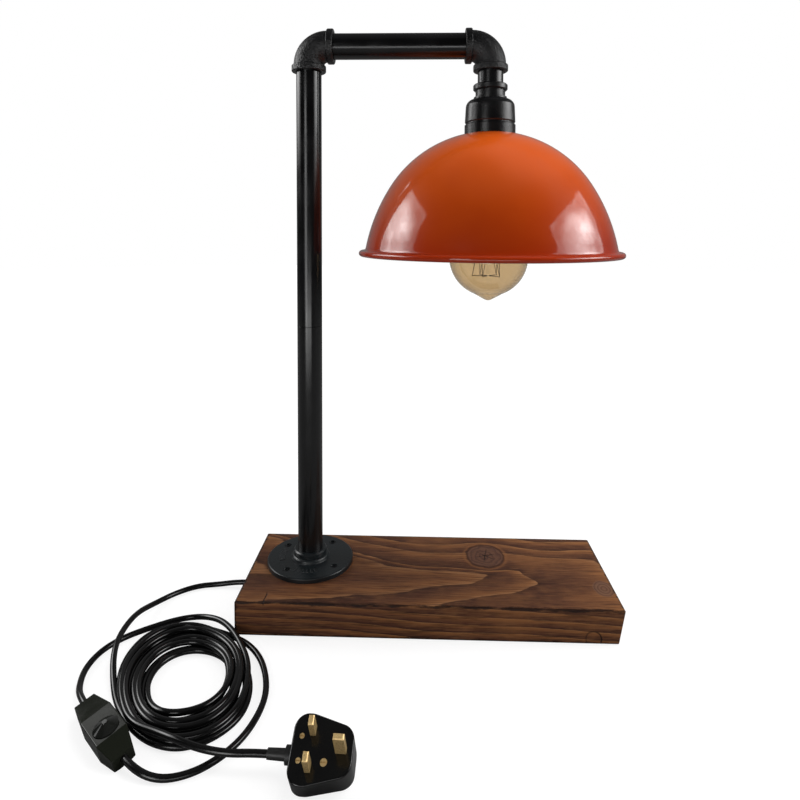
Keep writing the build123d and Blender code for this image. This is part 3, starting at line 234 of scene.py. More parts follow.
class Nodes:
    """Short calls for the shader nodes that the floor, the world and the finishes share."""

    def __init__(self, tree):
        self.tree = tree
        self.place = self.new("TexCoord").outputs["Object"]

    def new(self, kind, **settings):
        node = self.tree.nodes.new("ShaderNode" + kind)
        for setting, value in settings.items():
            setattr(node, setting, value)
        return node

    def set(self, socket, value):
        if is_socket(value):
            self.tree.links.new(value, socket)
        else:
            socket.default_value = value

    def maths(self, operation, *values):
        node = self.new("Math", operation=operation)
        for socket, value in zip(node.inputs, values):
            self.set(socket, value)
        return node.outputs[0]

    def chain(self, operation, first, *others):
        for other in others:
            first = self.maths(operation, first, other)
        return first

    def plus(self, *values):
        return self.chain("ADD", *values)

    def times(self, *values):
        return self.chain("MULTIPLY", *values)

    def most(self, *values):
        return self.chain("MAXIMUM", *values)

    def minus(self, first, second):
        return self.maths("SUBTRACT", first, second)

    def off(self, value, middle):
        """How far value is from middle, either way."""
        return self.maths("ABSOLUTE", self.minus(value, middle))

    def vector(self, operation, *values):
        node = self.new("VectorMath", operation=operation)
        for socket, value in zip(node.inputs, values):
            self.set(socket, value)
        if operation in ("LENGTH", "DISTANCE", "DOT_PRODUCT"):
            return node.outputs["Value"]
        return node.outputs["Vector"]

    def parts(self, vector):
        node = self.new("SeparateXYZ")
        self.set(node.inputs[0], vector)
        return node.outputs

    def joined(self, x, y, z):
        node = self.new("CombineXYZ")
        for socket, value in zip(node.inputs, (x, y, z)):
            self.set(socket, value)
        return node.outputs[0]

    def noise(self, place, scale, detail=2.0, roughness=0.5, stretch=None):
        if stretch:
            place = self.vector("MULTIPLY", place, stretch)
        node = self.new("TexNoise")
        self.set(node.inputs["Vector"], place)
        self.set(node.inputs["Scale"], scale)
        self.set(node.inputs["Detail"], detail)
        self.set(node.inputs["Roughness"], roughness)
        return node.outputs["Fac"]

    def between(self, value, low, high, start=0.0, stop=1.0, smooth=True):
        """Carries value from low..high to start..stop."""
        node = self.new("MapRange", interpolation_type="SMOOTHSTEP" if smooth else "LINEAR")
        for socket, amount in zip(node.inputs, (value, low, high, start, stop)):
            self.set(socket, amount)
        return node.outputs[0]

    def spread(self, noise, start=0.0, stop=1.0):
        """Carries the values that a noise mostly has to start..stop."""
        return self.between(noise, 0.3, 0.7, start, stop)

    def band(self, value, rise, fall):
        """1 from the end of rise to the start of fall, and 0 outside both."""
        return self.times(self.between(value, *rise), self.between(value, *fall, 1.0, 0.0))

    def ramp(self, value, stops):
        node = self.new("ValToRGB")
        elements = node.color_ramp.elements
        while len(elements) < len(stops):
            elements.new(0.5)
        for element, (position, colour) in zip(elements, stops):
            element.position = position
            element.color = (*colour, 1)
        self.set(node.inputs[0], value)
        return node.outputs[0]

    def mix(self, share, first, second):
        node = self.new("Mix", data_type="RGBA")
        self.set(node.inputs[0], share)
        for socket, value in ((node.inputs[6], first), (node.inputs[7], second)):
            self.set(socket, value if is_socket(value) else (*value, 1))
        return node.outputs[2]

    def bump(self, height, distance, below=None):
        node = self.new("Bump")
        self.set(node.inputs["Height"], height)
        node.inputs["Distance"].default_value = distance
        node.inputs["Strength"].default_value = 1.0
        if below is not None:
            self.set(node.inputs["Normal"], below)
        return node.outputs[0]

    def seen(self):
        """1 for what the camera sees directly or through glass."""
        light_path = self.new("LightPath").outputs
        return self.most(light_path["Is Camera Ray"], light_path["Is Transmission Ray"])


print("short calls:", [name for name in vars(Nodes) if not name.startswith("_")])

# %% Floor
FLOOR_REACH = 6.0
FLOOR_SIDES = 64
FLOOR_SEEN = 0.90         # how pale the floor is to the eye, and to the light that it throws back
FLOOR_THROWS = 0.20
WHITE_GLOW = 1.11
SHADOW_NEAR = 0.27        # how much of the floor's own shading shows beside the lamp
SHADOW_ENDS = (0.35, 1.1)               # metres from the lamp between which it fades out


def lay_floor():
    bpy.ops.object.select_all(action="DESELECT")
    bpy.ops.mesh.primitive_circle_add(vertices=FLOOR_SIDES, radius=FLOOR_REACH, fill_type="NGON")
    floor = bpy.context.object
    floor.name = "floor"
    material = bpy.data.materials.new("floor_white")
    material.use_nodes = True
    nodes = Nodes(material.node_tree)
    shader = material.node_tree.nodes["Principled BSDF"]
    seen = nodes.seen()
    pale = nodes.between(seen, 0.0, 1.0, FLOOR_THROWS, FLOOR_SEEN)
    nodes.set(shader.inputs["Base Color"], nodes.joined(pale, pale, pale))
    shader.inputs["Roughness"].default_value = 0.9
    shader.inputs["Specular IOR Level"].default_value = 0.0
    white = nodes.new("Emission")
    white.inputs["Strength"].default_value = WHITE_GLOW
    distance = nodes.vector("LENGTH", nodes.place)
    whiteness = nodes.between(distance, *SHADOW_ENDS, 1 - SHADOW_NEAR, 1.0)
    blend = nodes.new("MixShader")
    nodes.set(blend.inputs[0], nodes.times(whiteness, seen))
    nodes.set(blend.inputs[1], shader.outputs[0])
    nodes.set(blend.inputs[2], white.outputs[0])
    nodes.set(material.node_tree.nodes["Material Output"].inputs["Surface"], blend.outputs[0])
    floor.data.materials.append(material)


lay_floor()
print("floor reaches", FLOOR_REACH, "m")

# %% World
ROOM_FRONT = 0.04         # light from the side behind the camera, and from the backdrop
ROOM_BACK = 0.55
ROOM_TURNS = (-0.5, 0.9)                # how far back a direction looks where that changes
MIRRORED_FRONT = 0.025    # what gloss sees on those two sides
MIRRORED_BACK = 0.20
MIRRORED_TURNS = (0.3, 1.0)
MIRRORED_TOP = 0.10
CEILING = (0.72, 0.92)                  # how far up a direction looks where the ceiling starts


def light_room():
    world = bpy.data.worlds.new("studio")
    bpy.context.scene.world = world
    world.use_nodes = True
    nodes = Nodes(world.node_tree)
    background = world.node_tree.nodes["Background"]
    _, behind, above = nodes.parts(nodes.new("TexCoord").outputs["Generated"])
    room = nodes.between(behind, *ROOM_TURNS, ROOM_FRONT, ROOM_BACK)
    mirrored = nodes.most(nodes.between(behind, *MIRRORED_TURNS, MIRRORED_FRONT, MIRRORED_BACK),
                          nodes.between(above, *CEILING, 0.0, MIRRORED_TOP))
    glossy = nodes.new("LightPath").outputs["Is Glossy Ray"]
    level = nodes.plus(nodes.times(mirrored, glossy), nodes.times(room, nodes.minus(1.0, glossy)))
    level = nodes.most(level, nodes.seen())
    nodes.set(background.inputs["Color"], nodes.joined(level, level, level))
    background.inputs["Strength"].default_value = 1.0


light_room()
print("room lights by", ROOM_FRONT, "to", ROOM_BACK)

# %% Plain and soft lamps
PANE_EDGE = (0.47, 0.54)                # how far from its middle, on a pane 1 wide and 1 high
PANE_FADES = (0.05, 0.42)
PANE_RAGGED = 0.12
PANE_PATCHES = (0.35, 0.65, 0.55, 1.15)
RIM_GLOW = 0.45


def window(name, place, aim, size, radiance, mirrored=True):
    """Flat lamp that faces aim; its watts are its radiance times pi times its area."""
    data = bpy.data.lights.new(name, "AREA")
    data.shape = "RECTANGLE"
    data.size, data.size_y = size
    data.energy = radiance * math.pi * size[0] * size[1]
    lamp = bpy.data.objects.new(name, data)
    bpy.context.collection.objects.link(lamp)
    lamp.location = place
    lamp.rotation_euler = (Vector(aim) - Vector(place)).to_track_quat("-Z", "Y").to_euler()
    lamp.visible_camera = False
    lamp.visible_glossy = mirrored
    return lamp


def soft_window(name, core, **settings):
    """A lamp whose pane is dim at its rim and bright at its core, like a window behind a blind."""
    tree = window(name, **settings).data
    tree.use_nodes = True
    nodes = Nodes(tree.node_tree)
    pane = nodes.new("NewGeometry").outputs["Parametric"]
    across, up, _ = nodes.parts(pane)
    uneven = nodes.noise(pane, 3.0, 3)
    wide, high = nodes.off(across, 0.5), nodes.off(up, 0.5)
    nearest = nodes.maths("MULTIPLY_ADD", uneven, PANE_RAGGED, nodes.most(wide, high))
    edge = nodes.between(nearest, *PANE_EDGE, 1.0, 0.0)
    middle = nodes.vector("LENGTH", nodes.joined(wide, high, 0.0))
    glow = nodes.between(middle, *PANE_FADES, core, RIM_GLOW)
    strength = nodes.times(glow, nodes.between(uneven, *PANE_PATCHES), edge)
    nodes.set(tree.node_tree.nodes["Emission"].inputs["Strength"], strength)


print("a soft lamp's rim glows at", RIM_GLOW, "of its radiance")

# %% Hang the lamps
SHADE_MIDDLE = (0.0635, 0.0115, 0.43)
window("panel_overhead", place=(0.70, 0.22, 1.7), aim=(0.0, 0.0, 0.2), size=(1.5, 1.3),
       radiance=4.4, mirrored=False)
window("panel_low_left", place=(-0.72, -1.42, 0.42), aim=(-0.10, 0.0, 0.40), size=(0.46, 0.95),
       radiance=3.2)
window("strip_low_front", place=(-0.10, -1.25, 0.09), aim=(0.0, 0.0, 0.50), size=(1.1, 0.26),
       radiance=3.2)
soft_window("window_left", place=(-2.17, 0.45, 1.36), aim=SHADE_MIDDLE, size=(2.3, 1.50),
            radiance=5.4, core=2.0)
soft_window("window_right", place=(2.50, -0.30, 1.33), aim=SHADE_MIDDLE, size=(2.9, 1.45),
            radiance=5.4, core=2.2)

# %% [markdown]
# ## Black paint on pipe and castings
# Steel pipe is drawn smooth and painted satin black. Malleable castings keep the grain of the
# sand mould under the same paint, so they look softer and a little pitted. A picture of paint
# would stretch in the bends of the elbows, while noise in space fits every part alike. So one
# function makes them all: a dark base whose roughness wanders, over a grain of a given size.

# %% A finish is a material with its nodes


def finish(name, colour, roughness, **sockets):
    """New material; extra sockets are set by name, with _ for a space."""
    material = bpy.data.materials.new(name)
    material.use_nodes = True
    shader = material.node_tree.nodes["Principled BSDF"]
    shader.inputs["Base Color"].default_value = (*colour, 1)
    shader.inputs["Roughness"].default_value = roughness
    for socket, value in sockets.items():
        shader.inputs[socket.replace("_", " ")].default_value = value
    return material, Nodes(material.node_tree), shader.inputs


def shaded(colour, factor):
    return tuple(part * factor for part in colour)


def nodes_with(slot):
    return [frame["nodes"][part["node"]] for part in frame["record"]["subparts"]
            if part["material_slot"] == slot]


def dress(slot, material):
    """Gives every solid of a material slot its finish."""
    for solid in nodes_with(slot):
        solid.data.materials.clear()
        solid.data.materials.append(material)


# %% Satin paint
PAINT_WANDERS = 0.06                    # of its roughness, either way


def painted(name, colour, roughness, grain, depth):
    """Satin paint: patchy tone and roughness over a fine grain of that many bumps a metre."""
    material, nodes, shader = finish(name, colour, roughness, Specular_IOR_Level=0.5)
    patches = nodes.noise(nodes.place, 22, 4)
    nodes.set(shader["Base Color"],
              nodes.mix(nodes.spread(patches), shaded(colour, 0.75), shaded(colour, 1.35)))
    nodes.set(shader["Roughness"],
              nodes.spread(patches, roughness - PAINT_WANDERS, roughness + PAINT_WANDERS))
    nodes.set(shader["Normal"], nodes.bump(nodes.noise(nodes.place, grain, 5, 0.6), depth))
    return material


print("the paint's roughness wanders by", PAINT_WANDERS)

# %% Raised bars on the flange
FLANGE_MIDDLE = (-0.130, 0.0115)
BAR_RING = (0.0275, 0.0345)             # the bars stand between these radii
BAR_SLOPE = 0.0008
BARS_ROUND = 44
BAR_FLANKS = (0.20, 0.32)               # of the way from the middle of a gap to the next bar
BAR_HEIGHT = 0.0040
FIELD_ENDS = (0.055, 0.065)             # of each field of bars, in turns from its middle


def cast_flange():
    """Flange paint with a foundry's short raised bars at its left and front."""
    material = painted("flange_paint", (0.0058, 0.0082, 0.0094), 0.32, 420, 0.00020)
    nodes = Nodes(material.node_tree)
    normal = material.node_tree.nodes["Principled BSDF"].inputs["Normal"]
    x, y, _ = nodes.parts(nodes.place)
    across = nodes.minus(x, FLANGE_MIDDLE[0])
    along = nodes.minus(y, FLANGE_MIDDLE[1])
    radius = nodes.vector("LENGTH", nodes.joined(across, along, 0.0))
    turn = nodes.maths("DIVIDE", nodes.maths("ARCTAN2", along, across), 2 * math.pi)
    bars = nodes.between(nodes.maths("PINGPONG", nodes.times(turn, BARS_ROUND), 0.5), *BAR_FLANKS)
    inner, outer = BAR_RING
    ring = nodes.band(radius, (inner, inner + BAR_SLOPE), (outer - BAR_SLOPE, outer))
    from_left = nodes.off(nodes.maths("ABSOLUTE", turn), 0.5)
    from_front = nodes.off(turn, -0.25)
    shown = nodes.most(nodes.between(from_left, *FIELD_ENDS, 1.0, 0.0),
                       nodes.between(from_front, *FIELD_ENDS, 1.0, 0.0))
    height = nodes.times(bars, shown, ring)
    nodes.set(normal, nodes.bump(height, BAR_HEIGHT, normal.links[0].from_socket))
    return material


dress("black_pipe", painted("pipe_paint", (0.0042, 0.0042, 0.0046), 0.20, 900, 0.00004))
dress("black_fitting", painted("casting_paint", (0.0046, 0.0046, 0.0050), 0.27, 640, 0.00085))
dress("black_reducer", painted("socket_paint", (0.0046, 0.0046, 0.0050), 0.27, 700, 0.00016))
dress("black_flange", cast_flange())
dress("black_screw", painted("screw_paint", (0.0045, 0.0055, 0.0062), 0.30, 900, 0.00004))
print("painted:", [o.name for slot in ("black_pipe", "black_fitting") for o in nodes_with(slot)])

# %% [markdown]
# ## Stained pine
# The plank is sawn from the outer part of a log. A flat cut there runs along the growth rings, so
# the top shows only a few of them, as long arches whose tips point right, and close lines at the
# back, which bend round a knot where a branch stood. Each ring starts pale and soft and ends in a
# hard dark line, and brown stain soaks deeper into the soft part. A picture of wood could be
# wrapped round the plank, but its sides and ends wouldn't agree. So the rings are one count in
# space, drawn as slanting walls that meet at the arches' tips, and every face cuts that count as
# the saw did.

# %% Places of the knots and the rings
PLANK_HALF = (0.192, 0.0685, 0.017)
PLANK_TOP = 0.034
BIG_KNOT = (0.0655, 0.0270)
BIG_KNOT_HALF = (0.0215, 0.0245)
SMALL_KNOT = (0.1810, -0.0320)
SMALL_KNOT_HALF = (0.0110, 0.0150)
FRONT_KNOT = (0.1610, 0.0050)           # along the plank and up
FRONT_KNOT_HALF = (0.0078, 0.0080)
RINGS_DEEP = 125                        # per metre of the plank's thickness
TIP_ROUNDING = 0.25
KNOT_PUSHES = 0.30                      # how strongly the big knot bends the grain round it
BACK_DROPS = (0.080, 0.140, 0.0, 0.010)
BACK_RISE = (0.4, -0.015)               # slope and start of the back lines' climb towards the left
RISE_ROUNDING = 0.0009
WAVER = ((8.0, 26.0, 26.0), 0.75)       # stretch and reach of the rings' own waver

# Each wall goes straight through these marks: a place across it in metres, and the rings there.
BACK_WALL = ((-0.180, -2), (0.000, 1), (0.006, 2), (0.035, 3), (0.130, 8))
FRONT_WALL = (0.23, ((-0.140, -2), (0.0393, 1), (0.067, 2), (0.260, 4)))
CORNER_WALL = (0.8, ((-0.210, -4), (0.065, 1), (0.120, 2), (0.340, 4)))
TIP_WALL = (1.1, ((-0.097, -4), (0.073, 1), (0.107, 2), (0.327, 4)))
print("rings a metre deep:", RINGS_DEEP)

# %% Count the growth rings


def knot_distance(nodes, first, second, middle, half):
    """1 at the knot's rim, 0 at its middle."""
    across = nodes.maths("DIVIDE", nodes.minus(first, middle[0]), half[0])
    along = nodes.maths("DIVIDE", nodes.minus(second, middle[1]), half[1])
    return nodes.vector("LENGTH", nodes.joined(across, along, 0.0))


def stepped(nodes, value, marks):
    """Straight pieces through marks of (value, count)."""
    total = marks[0][1]
    for (low, start), (high, stop) in zip(marks, marks[1:]):
        total = nodes.plus(total, nodes.between(value, low, high, 0.0, stop - start, smooth=False))
    return total


def slanting(nodes, x, y, wall, side=-1.0):
    slope, marks = wall
    return stepped(nodes, nodes.maths("MULTIPLY_ADD", x, slope, nodes.times(y, side)), marks)


def bent_round_knot(nodes, y, knot):
    """The place across the plank that the grain would have if it didn't bend round the knot."""
    near = nodes.most(nodes.times(knot, knot), KNOT_PUSHES)
    pushed = nodes.minus(1.0, nodes.maths("DIVIDE", KNOT_PUSHES, near))
    return nodes.maths("MULTIPLY_ADD", nodes.minus(y, BIG_KNOT[1]), pushed, BIG_KNOT[1])


def back_wall(nodes, x, bent):
    left = nodes.most(nodes.times(x, -1.0), 0.0)
    rise = nodes.maths("SQRT", nodes.maths("MULTIPLY_ADD", left, left, RISE_ROUNDING))
    rise = nodes.maths("MULTIPLY_ADD", rise, *BACK_RISE)
    behind = nodes.plus(nodes.minus(bent, rise), nodes.between(x, *BACK_DROPS))
    return stepped(nodes, behind, BACK_WALL)


def ring_count(nodes, x, y, z, bent):
    """Rings counted outwards from the middle of the arches; whole numbers are the dark lines."""
    front = nodes.maths("SMOOTH_MAX", slanting(nodes, x, y, FRONT_WALL),
                        slanting(nodes, x, y, CORNER_WALL), TIP_ROUNDING)
    back = nodes.maths("SMOOTH_MAX", back_wall(nodes, x, bent),
                       slanting(nodes, x, y, TIP_WALL, side=1.0), TIP_ROUNDING)
    count = nodes.maths("SMOOTH_MAX", front, back, TIP_ROUNDING)
    deep = nodes.times(nodes.minus(z, PLANK_TOP), RINGS_DEEP)
    stretch, reach = WAVER
    waver = nodes.times(nodes.minus(nodes.noise(nodes.place, 1, 3, stretch=stretch), 0.5), reach)
    return nodes.plus(count, deep, waver)


print("rings through the plank's thickness:", RINGS_DEEP * PLANK_TOP)

# %% Colours of the plank
SIDES_LIGHTER_STAIN_AND_LIGHT = 1.50                      # the sides drink less stain than the top, and are also painted lighter for light that falls short on them
GOLD = (0.203, 0.0813, 0.0282)
PALE_LINE = (0.257, 0.1179, 0.0481)
MIDDLE_BROWN = (0.098, 0.0373, 0.0174)
DARK_BROWN = (0.028, 0.0108, 0.0066)
RED_BROWN = (0.056, 0.0212, 0.0124)
KNOT_PALE = (0.098, 0.045, 0.027)
KNOT_DARK = (0.060, 0.027, 0.019)
SMALL_KNOT_PALE = (0.125, 0.066, 0.042)
SMALL_KNOT_DARK = (0.060, 0.028, 0.020)
EDGE_STAIN = (0.012, 0.0055, 0.0042)
CRACK_BLACK = (0.010, 0.0050, 0.0040)
ONE_RING = [(0.0, DARK_BROWN), (0.14, RED_BROWN), (0.46, MIDDLE_BROWN), (0.86, GOLD),
            (0.975, PALE_LINE), (1.0, DARK_BROWN)]
STREAKS = (7.0, 130.0, 130.0)           # how often each kind of streak changes in a metre, each way
FINE_STREAKS = (24.0, 620.0, 620.0)
FIBRES = (45.0, 1500.0, 1500.0)
CHEWED = (60.0, 260.0, 260.0)
print("one ring runs through", len(ONE_RING), "colours")

# %% Marks on the plank
CHECK_HEADINGS = (18, 78, 141)
CRACK_SIDES = (0.0002, 0.0010)          # a crack is full at the first, and gone at the second
END_CRACK = -0.163                      # its place along the plank
print("drying cracks in the big knot:", len(CHECK_HEADINGS))


def knot_checks(nodes, x, y, knot):
    """Three drying cracks that cross in the middle of the big knot."""
    cracks = 0.0
    wobble = nodes.times(nodes.minus(nodes.noise(nodes.place, 260, 2), 0.5), 0.004)
    for degrees in CHECK_HEADINGS:
        angle = math.radians(degrees)
        across = nodes.times(nodes.minus(x, BIG_KNOT[0]), math.sin(angle))
        off = nodes.maths("MULTIPLY_ADD", nodes.minus(y, BIG_KNOT[1]), -math.cos(angle), across)
        gap = nodes.maths("ABSOLUTE", nodes.plus(off, wobble))
        cracks = nodes.most(cracks, nodes.between(gap, *CRACK_SIDES, 1.0, 0.0))
    return nodes.times(cracks, nodes.between(knot, 0.30, 0.62, 1.0, 0.0))


def front_knot_rim(nodes, x, y, z, ragged):
    """The crack round the knot on the front, which is darker on its right."""
    knot = nodes.plus(knot_distance(nodes, x, z, FRONT_KNOT, FRONT_KNOT_HALF), ragged)
    in_front = nodes.between(y, -0.060, -0.055, 1.0, 0.0)
    rim = nodes.times(nodes.band(knot, (0.82, 0.92), (1.00, 1.12)), in_front)
    middle, side = FRONT_KNOT[0], FRONT_KNOT[0] + FRONT_KNOT_HALF[0]
    return nodes.times(rim, nodes.between(x, middle, side, 0.60, 1.0))


def end_crack(nodes, x, y, z, ragged):
    """A short crack over the front edge, near the left end."""
    gap = nodes.maths("MULTIPLY_ADD", ragged, 0.02, nodes.minus(x, END_CRACK))
    line = nodes.between(nodes.maths("ABSOLUTE", gap), *CRACK_SIDES, 1.0, 0.0)
    return nodes.times(line, nodes.between(y, -0.056, -0.049, 1.0, 0.0),
                       nodes.between(z, 0.030, 0.033))


def worn_edge(nodes, x, y, z):
    """1 where dark stain has gathered along the plank's chewed edges."""
    gaps = [nodes.minus(half, nodes.maths("ABSOLUTE", part))
            for half, part in zip(PLANK_HALF, (x, y, nodes.minus(z, PLANK_HALF[2])))]
    low = nodes.maths("MINIMUM", gaps[0], gaps[1])
    high = nodes.most(gaps[0], gaps[1])
    nearest = nodes.most(low, nodes.maths("MINIMUM", high, gaps[2]))
    chewed = nodes.noise(nodes.place, 1, 4, 0.65, stretch=CHEWED)
    nearest = nodes.maths("MULTIPLY_ADD", chewed, -0.0080, nearest)
    return nodes.between(nearest, -0.0034, -0.0010, 0.92, 0.0)


# %% Plank finish


def straight_grain(nodes, growth, streak, fine_streak, fibre):
    """Ring colours with streaks, fibres and clouds of stain over them."""
    cloud = nodes.noise(nodes.place, 16, 4, 0.6)
    wood = nodes.ramp(growth, ONE_RING)
    for share, reach, colour in (
            (nodes.between(streak, 0.36, 0.66), 0.48, RED_BROWN),
            (nodes.between(fine_streak, 0.48, 0.62), 0.70, DARK_BROWN),
            (nodes.between(cloud, 0.50, 0.72), 0.35, GOLD),
            (nodes.between(cloud, 0.46, 0.28), 0.40, RED_BROWN),
            (nodes.between(fibre, 0.50, 0.62), 0.28, PALE_LINE)):
        wood = nodes.mix(nodes.times(share, reach), wood, colour)
    return wood


def with_big_knot(nodes, wood, knot):
    """The branch's own rings, the dark line round them and the pale halo."""
    swirl = nodes.times(nodes.noise(nodes.place, 75, 3), 2.2)
    rings = nodes.maths("FRACT", nodes.maths("MULTIPLY_ADD", knot, 3.6, swirl))
    knot_wood = nodes.mix(nodes.between(rings, 0.30, 0.98), KNOT_PALE, KNOT_DARK)
    wood = nodes.mix(nodes.between(knot, 0.90, 0.97, 1.0, 0.0), wood, knot_wood)
    rim = nodes.times(nodes.band(knot, (0.86, 0.94), (0.96, 1.03)), 0.75)
    wood = nodes.mix(rim, wood, DARK_BROWN)
    halo = nodes.times(nodes.band(knot, (1.02, 1.09), (1.08, 1.24)), 0.45)
    return nodes.mix(halo, wood, GOLD)


def with_small_knot(nodes, wood, x, y, ragged):
    knot = nodes.plus(knot_distance(nodes, x, y, SMALL_KNOT, SMALL_KNOT_HALF), ragged)
    rings = nodes.between(nodes.maths("FRACT", nodes.times(knot, 3.4)), 0.35, 0.95)
    knot_wood = nodes.mix(rings, SMALL_KNOT_PALE, SMALL_KNOT_DARK)
    return nodes.mix(nodes.between(knot, 0.85, 1.05, 0.75, 0.0), wood, knot_wood)


def stained_pine():
    material, nodes, shader = finish("stained_pine", MIDDLE_BROWN, 0.5, Specular_IOR_Level=0.16)
    x, y, z = nodes.parts(nodes.place)
    ragged = nodes.times(nodes.minus(nodes.noise(nodes.place, 110, 3), 0.5), 0.16)
    knot = nodes.plus(knot_distance(nodes, x, y, BIG_KNOT, BIG_KNOT_HALF), ragged)
    bent = bent_round_knot(nodes, y, knot)
    growth = nodes.maths("FRACT", ring_count(nodes, x, y, z, bent))
    grain = nodes.joined(x, bent, z)
    streak = nodes.noise(grain, 1, 5, 0.62, stretch=STREAKS)
    fine_streak = nodes.noise(grain, 1, 4, 0.62, stretch=FINE_STREAKS)
    fibre = nodes.noise(grain, 1, 3, 0.6, stretch=FIBRES)
    wood = straight_grain(nodes, growth, streak, fine_streak, fibre)
    wood = with_big_knot(nodes, wood, knot)
    wood = with_small_knot(nodes, wood, x, y, ragged)
    cracks = nodes.most(knot_checks(nodes, x, y, knot), end_crack(nodes, x, y, z, ragged),
                        front_knot_rim(nodes, x, y, z, ragged))
    edge = worn_edge(nodes, x, y, z)
    wood = nodes.mix(edge, wood, EDGE_STAIN)
    wood = nodes.mix(nodes.times(cracks, 0.9), wood, CRACK_BLACK)
    # Partly painted light: the sides are paler from thinner stain, and lifted as well for the dim
    # front.
    side_stain_and_light = nodes.between(z, PLANK_TOP - 0.0018, PLANK_TOP - 0.0002, SIDES_LIGHTER_STAIN_AND_LIGHT, 1.0)
    side_stain_and_light = nodes.joined(side_stain_and_light, side_stain_and_light, side_stain_and_light)
    nodes.set(shader["Base Color"], nodes.vector("MULTIPLY", wood, side_stain_and_light))
    nodes.set(shader["Roughness"], nodes.spread(streak, 0.40, 0.60))
    relief = nodes.bump(fibre, 0.00012)
    relief = nodes.bump(nodes.minus(nodes.times(growth, 0.5), cracks), 0.00035, relief)
    relief = nodes.bump(nodes.times(edge, -1.0), 0.0006, relief)
    nodes.set(shader["Normal"], relief)
    return material


dress("stained_pine", stained_pine())
print("plank dressed, knots at", BIG_KNOT, SMALL_KNOT, FRONT_KNOT)

# %% [markdown]
# ## The enamelled shade
# The shade is one sheet of steel, spun over a former, with its rim rolled round a bead, and
# enamelled inside and out. A lathe does in metal what extruding a ring step by step does in a
# mesh, so the outline is drawn as arcs from the crown to the end of the roll, and Solidify gives
# the sheet its wall.

# %% Draw a turned piece ring by ring
SHARP_FROM = 40                         # degrees between two faces
print("edges over", SHARP_FROM, "degrees stay sharp")


def deselect():
    if bpy.context.mode != "OBJECT":
        bpy.ops.object.mode_set(mode="OBJECT")
    bpy.ops.object.select_all(action="DESELECT")


def turned(name, outline, axis, around):
    """Surface of revolution: a first ring is extruded, moved and resized from point to point."""
    deselect()
    radius, height = outline[0]
    bpy.ops.mesh.primitive_circle_add(vertices=around, radius=radius, location=(*axis, height))
    piece = bpy.context.object
    piece.name = piece.data.name = name
    bpy.ops.object.transform_apply(location=True, rotation=True, scale=True)
    bpy.ops.object.mode_set(mode="EDIT")
    bpy.ops.mesh.select_all(action="SELECT")
    for next_radius, next_height in outline[1:]:
        bpy.ops.mesh.extrude_edges_move(
            TRANSFORM_OT_translate={"value": (0, 0, next_height - height)})
        share = next_radius / radius
        bpy.ops.transform.resize(value=(share, share, 1), center_override=(*axis, next_height))
        radius, height = next_radius, next_height
    return piece


def arc(middle, radius, start, stop, steps):
    """Points on an arc in the outline's plane, angles in degrees from the outward level."""
    points = []
    for step in range(steps + 1):
        angle = math.radians(between(start, stop, step / steps))
        points.append((middle[0] + radius * math.cos(angle), middle[1] + radius * math.sin(angle)))
    return points


def modify(piece, kind, **settings):
    """Adds a modifier and applies it at once."""
    modifier = piece.modifiers.new(kind.lower(), kind)
    for setting, value in settings.items():
        setattr(modifier, setting, value)
    deselect()
    piece.select_set(True)
    bpy.context.view_layer.objects.active = piece
    bpy.ops.object.modifier_apply(modifier=modifier.name)


def smoothed(piece):
    deselect()
    piece.select_set(True)
    bpy.context.view_layer.objects.active = piece
    bpy.ops.object.shade_smooth_by_angle(angle=math.radians(SHARP_FROM))


# %% Shade
SHEET = 0.0008
CROWN_HOLE = 0.0053
CROWN_FLAT = 0.0270
CROWN_RADIUS = 0.1251
SKIRT_RADIUS = 0.1900
SHOULDER = 0.1050
BEAD = 0.0031
DOME_DEPTH = 0.1202
FLARE = 0.0036                          # radius of the turn from the skirt into the bead
FLARE_SHIFT = 0.0004
BEAD_STOPS = (84, -225)                 # degrees; the roll stays open underneath
SHADE_SIDES = 160


def shade_outline(low, high):
    """Outer face of the sheet: flat crown, sphere, flatter skirt, flare, and the rolled bead."""
    top = high.z
    rim = (high.x - low.x) / 2
    sphere_middle = top - math.sqrt(CROWN_RADIUS ** 2 - CROWN_FLAT ** 2)
    lean = math.asin(SHOULDER / CROWN_RADIUS)
    start = math.degrees(math.acos(CROWN_FLAT / CROWN_RADIUS))
    turn = 90 - math.degrees(lean)
    back = CROWN_RADIUS - SKIRT_RADIUS
    skirt_middle = (back * math.sin(lean), sphere_middle + back * math.cos(lean))
    foot = top - DOME_DEPTH
    stop = math.degrees(math.asin((foot - skirt_middle[1]) / SKIRT_RADIUS))
    outline = [(CROWN_HOLE, top), (CROWN_FLAT * 0.5, top), (CROWN_FLAT * 0.96, top)]
    outline += arc((0, sphere_middle), CROWN_RADIUS, start - 1, turn, 22)
    outline += arc(skirt_middle, SKIRT_RADIUS, turn, stop, 12)[1:]
    bead_middle = (rim - BEAD, low.z + BEAD)
    outline += arc((bead_middle[0] - FLARE_SHIFT, foot - FLARE_SHIFT), FLARE, 188, 250, 5)[1:]
    outline += arc(bead_middle, BEAD, *BEAD_STOPS, 26)
    return outline


print("a ring of the shade has", SHADE_SIDES, "points")

# %% Spin the shade


def make_shade():
    low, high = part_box("shade")
    axis = ((low.x + high.x) / 2, (low.y + high.y) / 2)
    piece = turned("enamel_shade", shade_outline(low, high), axis, SHADE_SIDES)
    bpy.ops.mesh.select_all(action="SELECT")
    bpy.ops.mesh.normals_make_consistent(inside=False)
    bpy.ops.object.mode_set(mode="OBJECT")
    modify(piece, "SOLIDIFY", thickness=SHEET, offset=-1)
    smoothed(piece)
    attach(piece, "shade_head")
    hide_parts("shade")
    return piece


shade = make_shade()
print("shade faces:", len(shade.data.polygons))

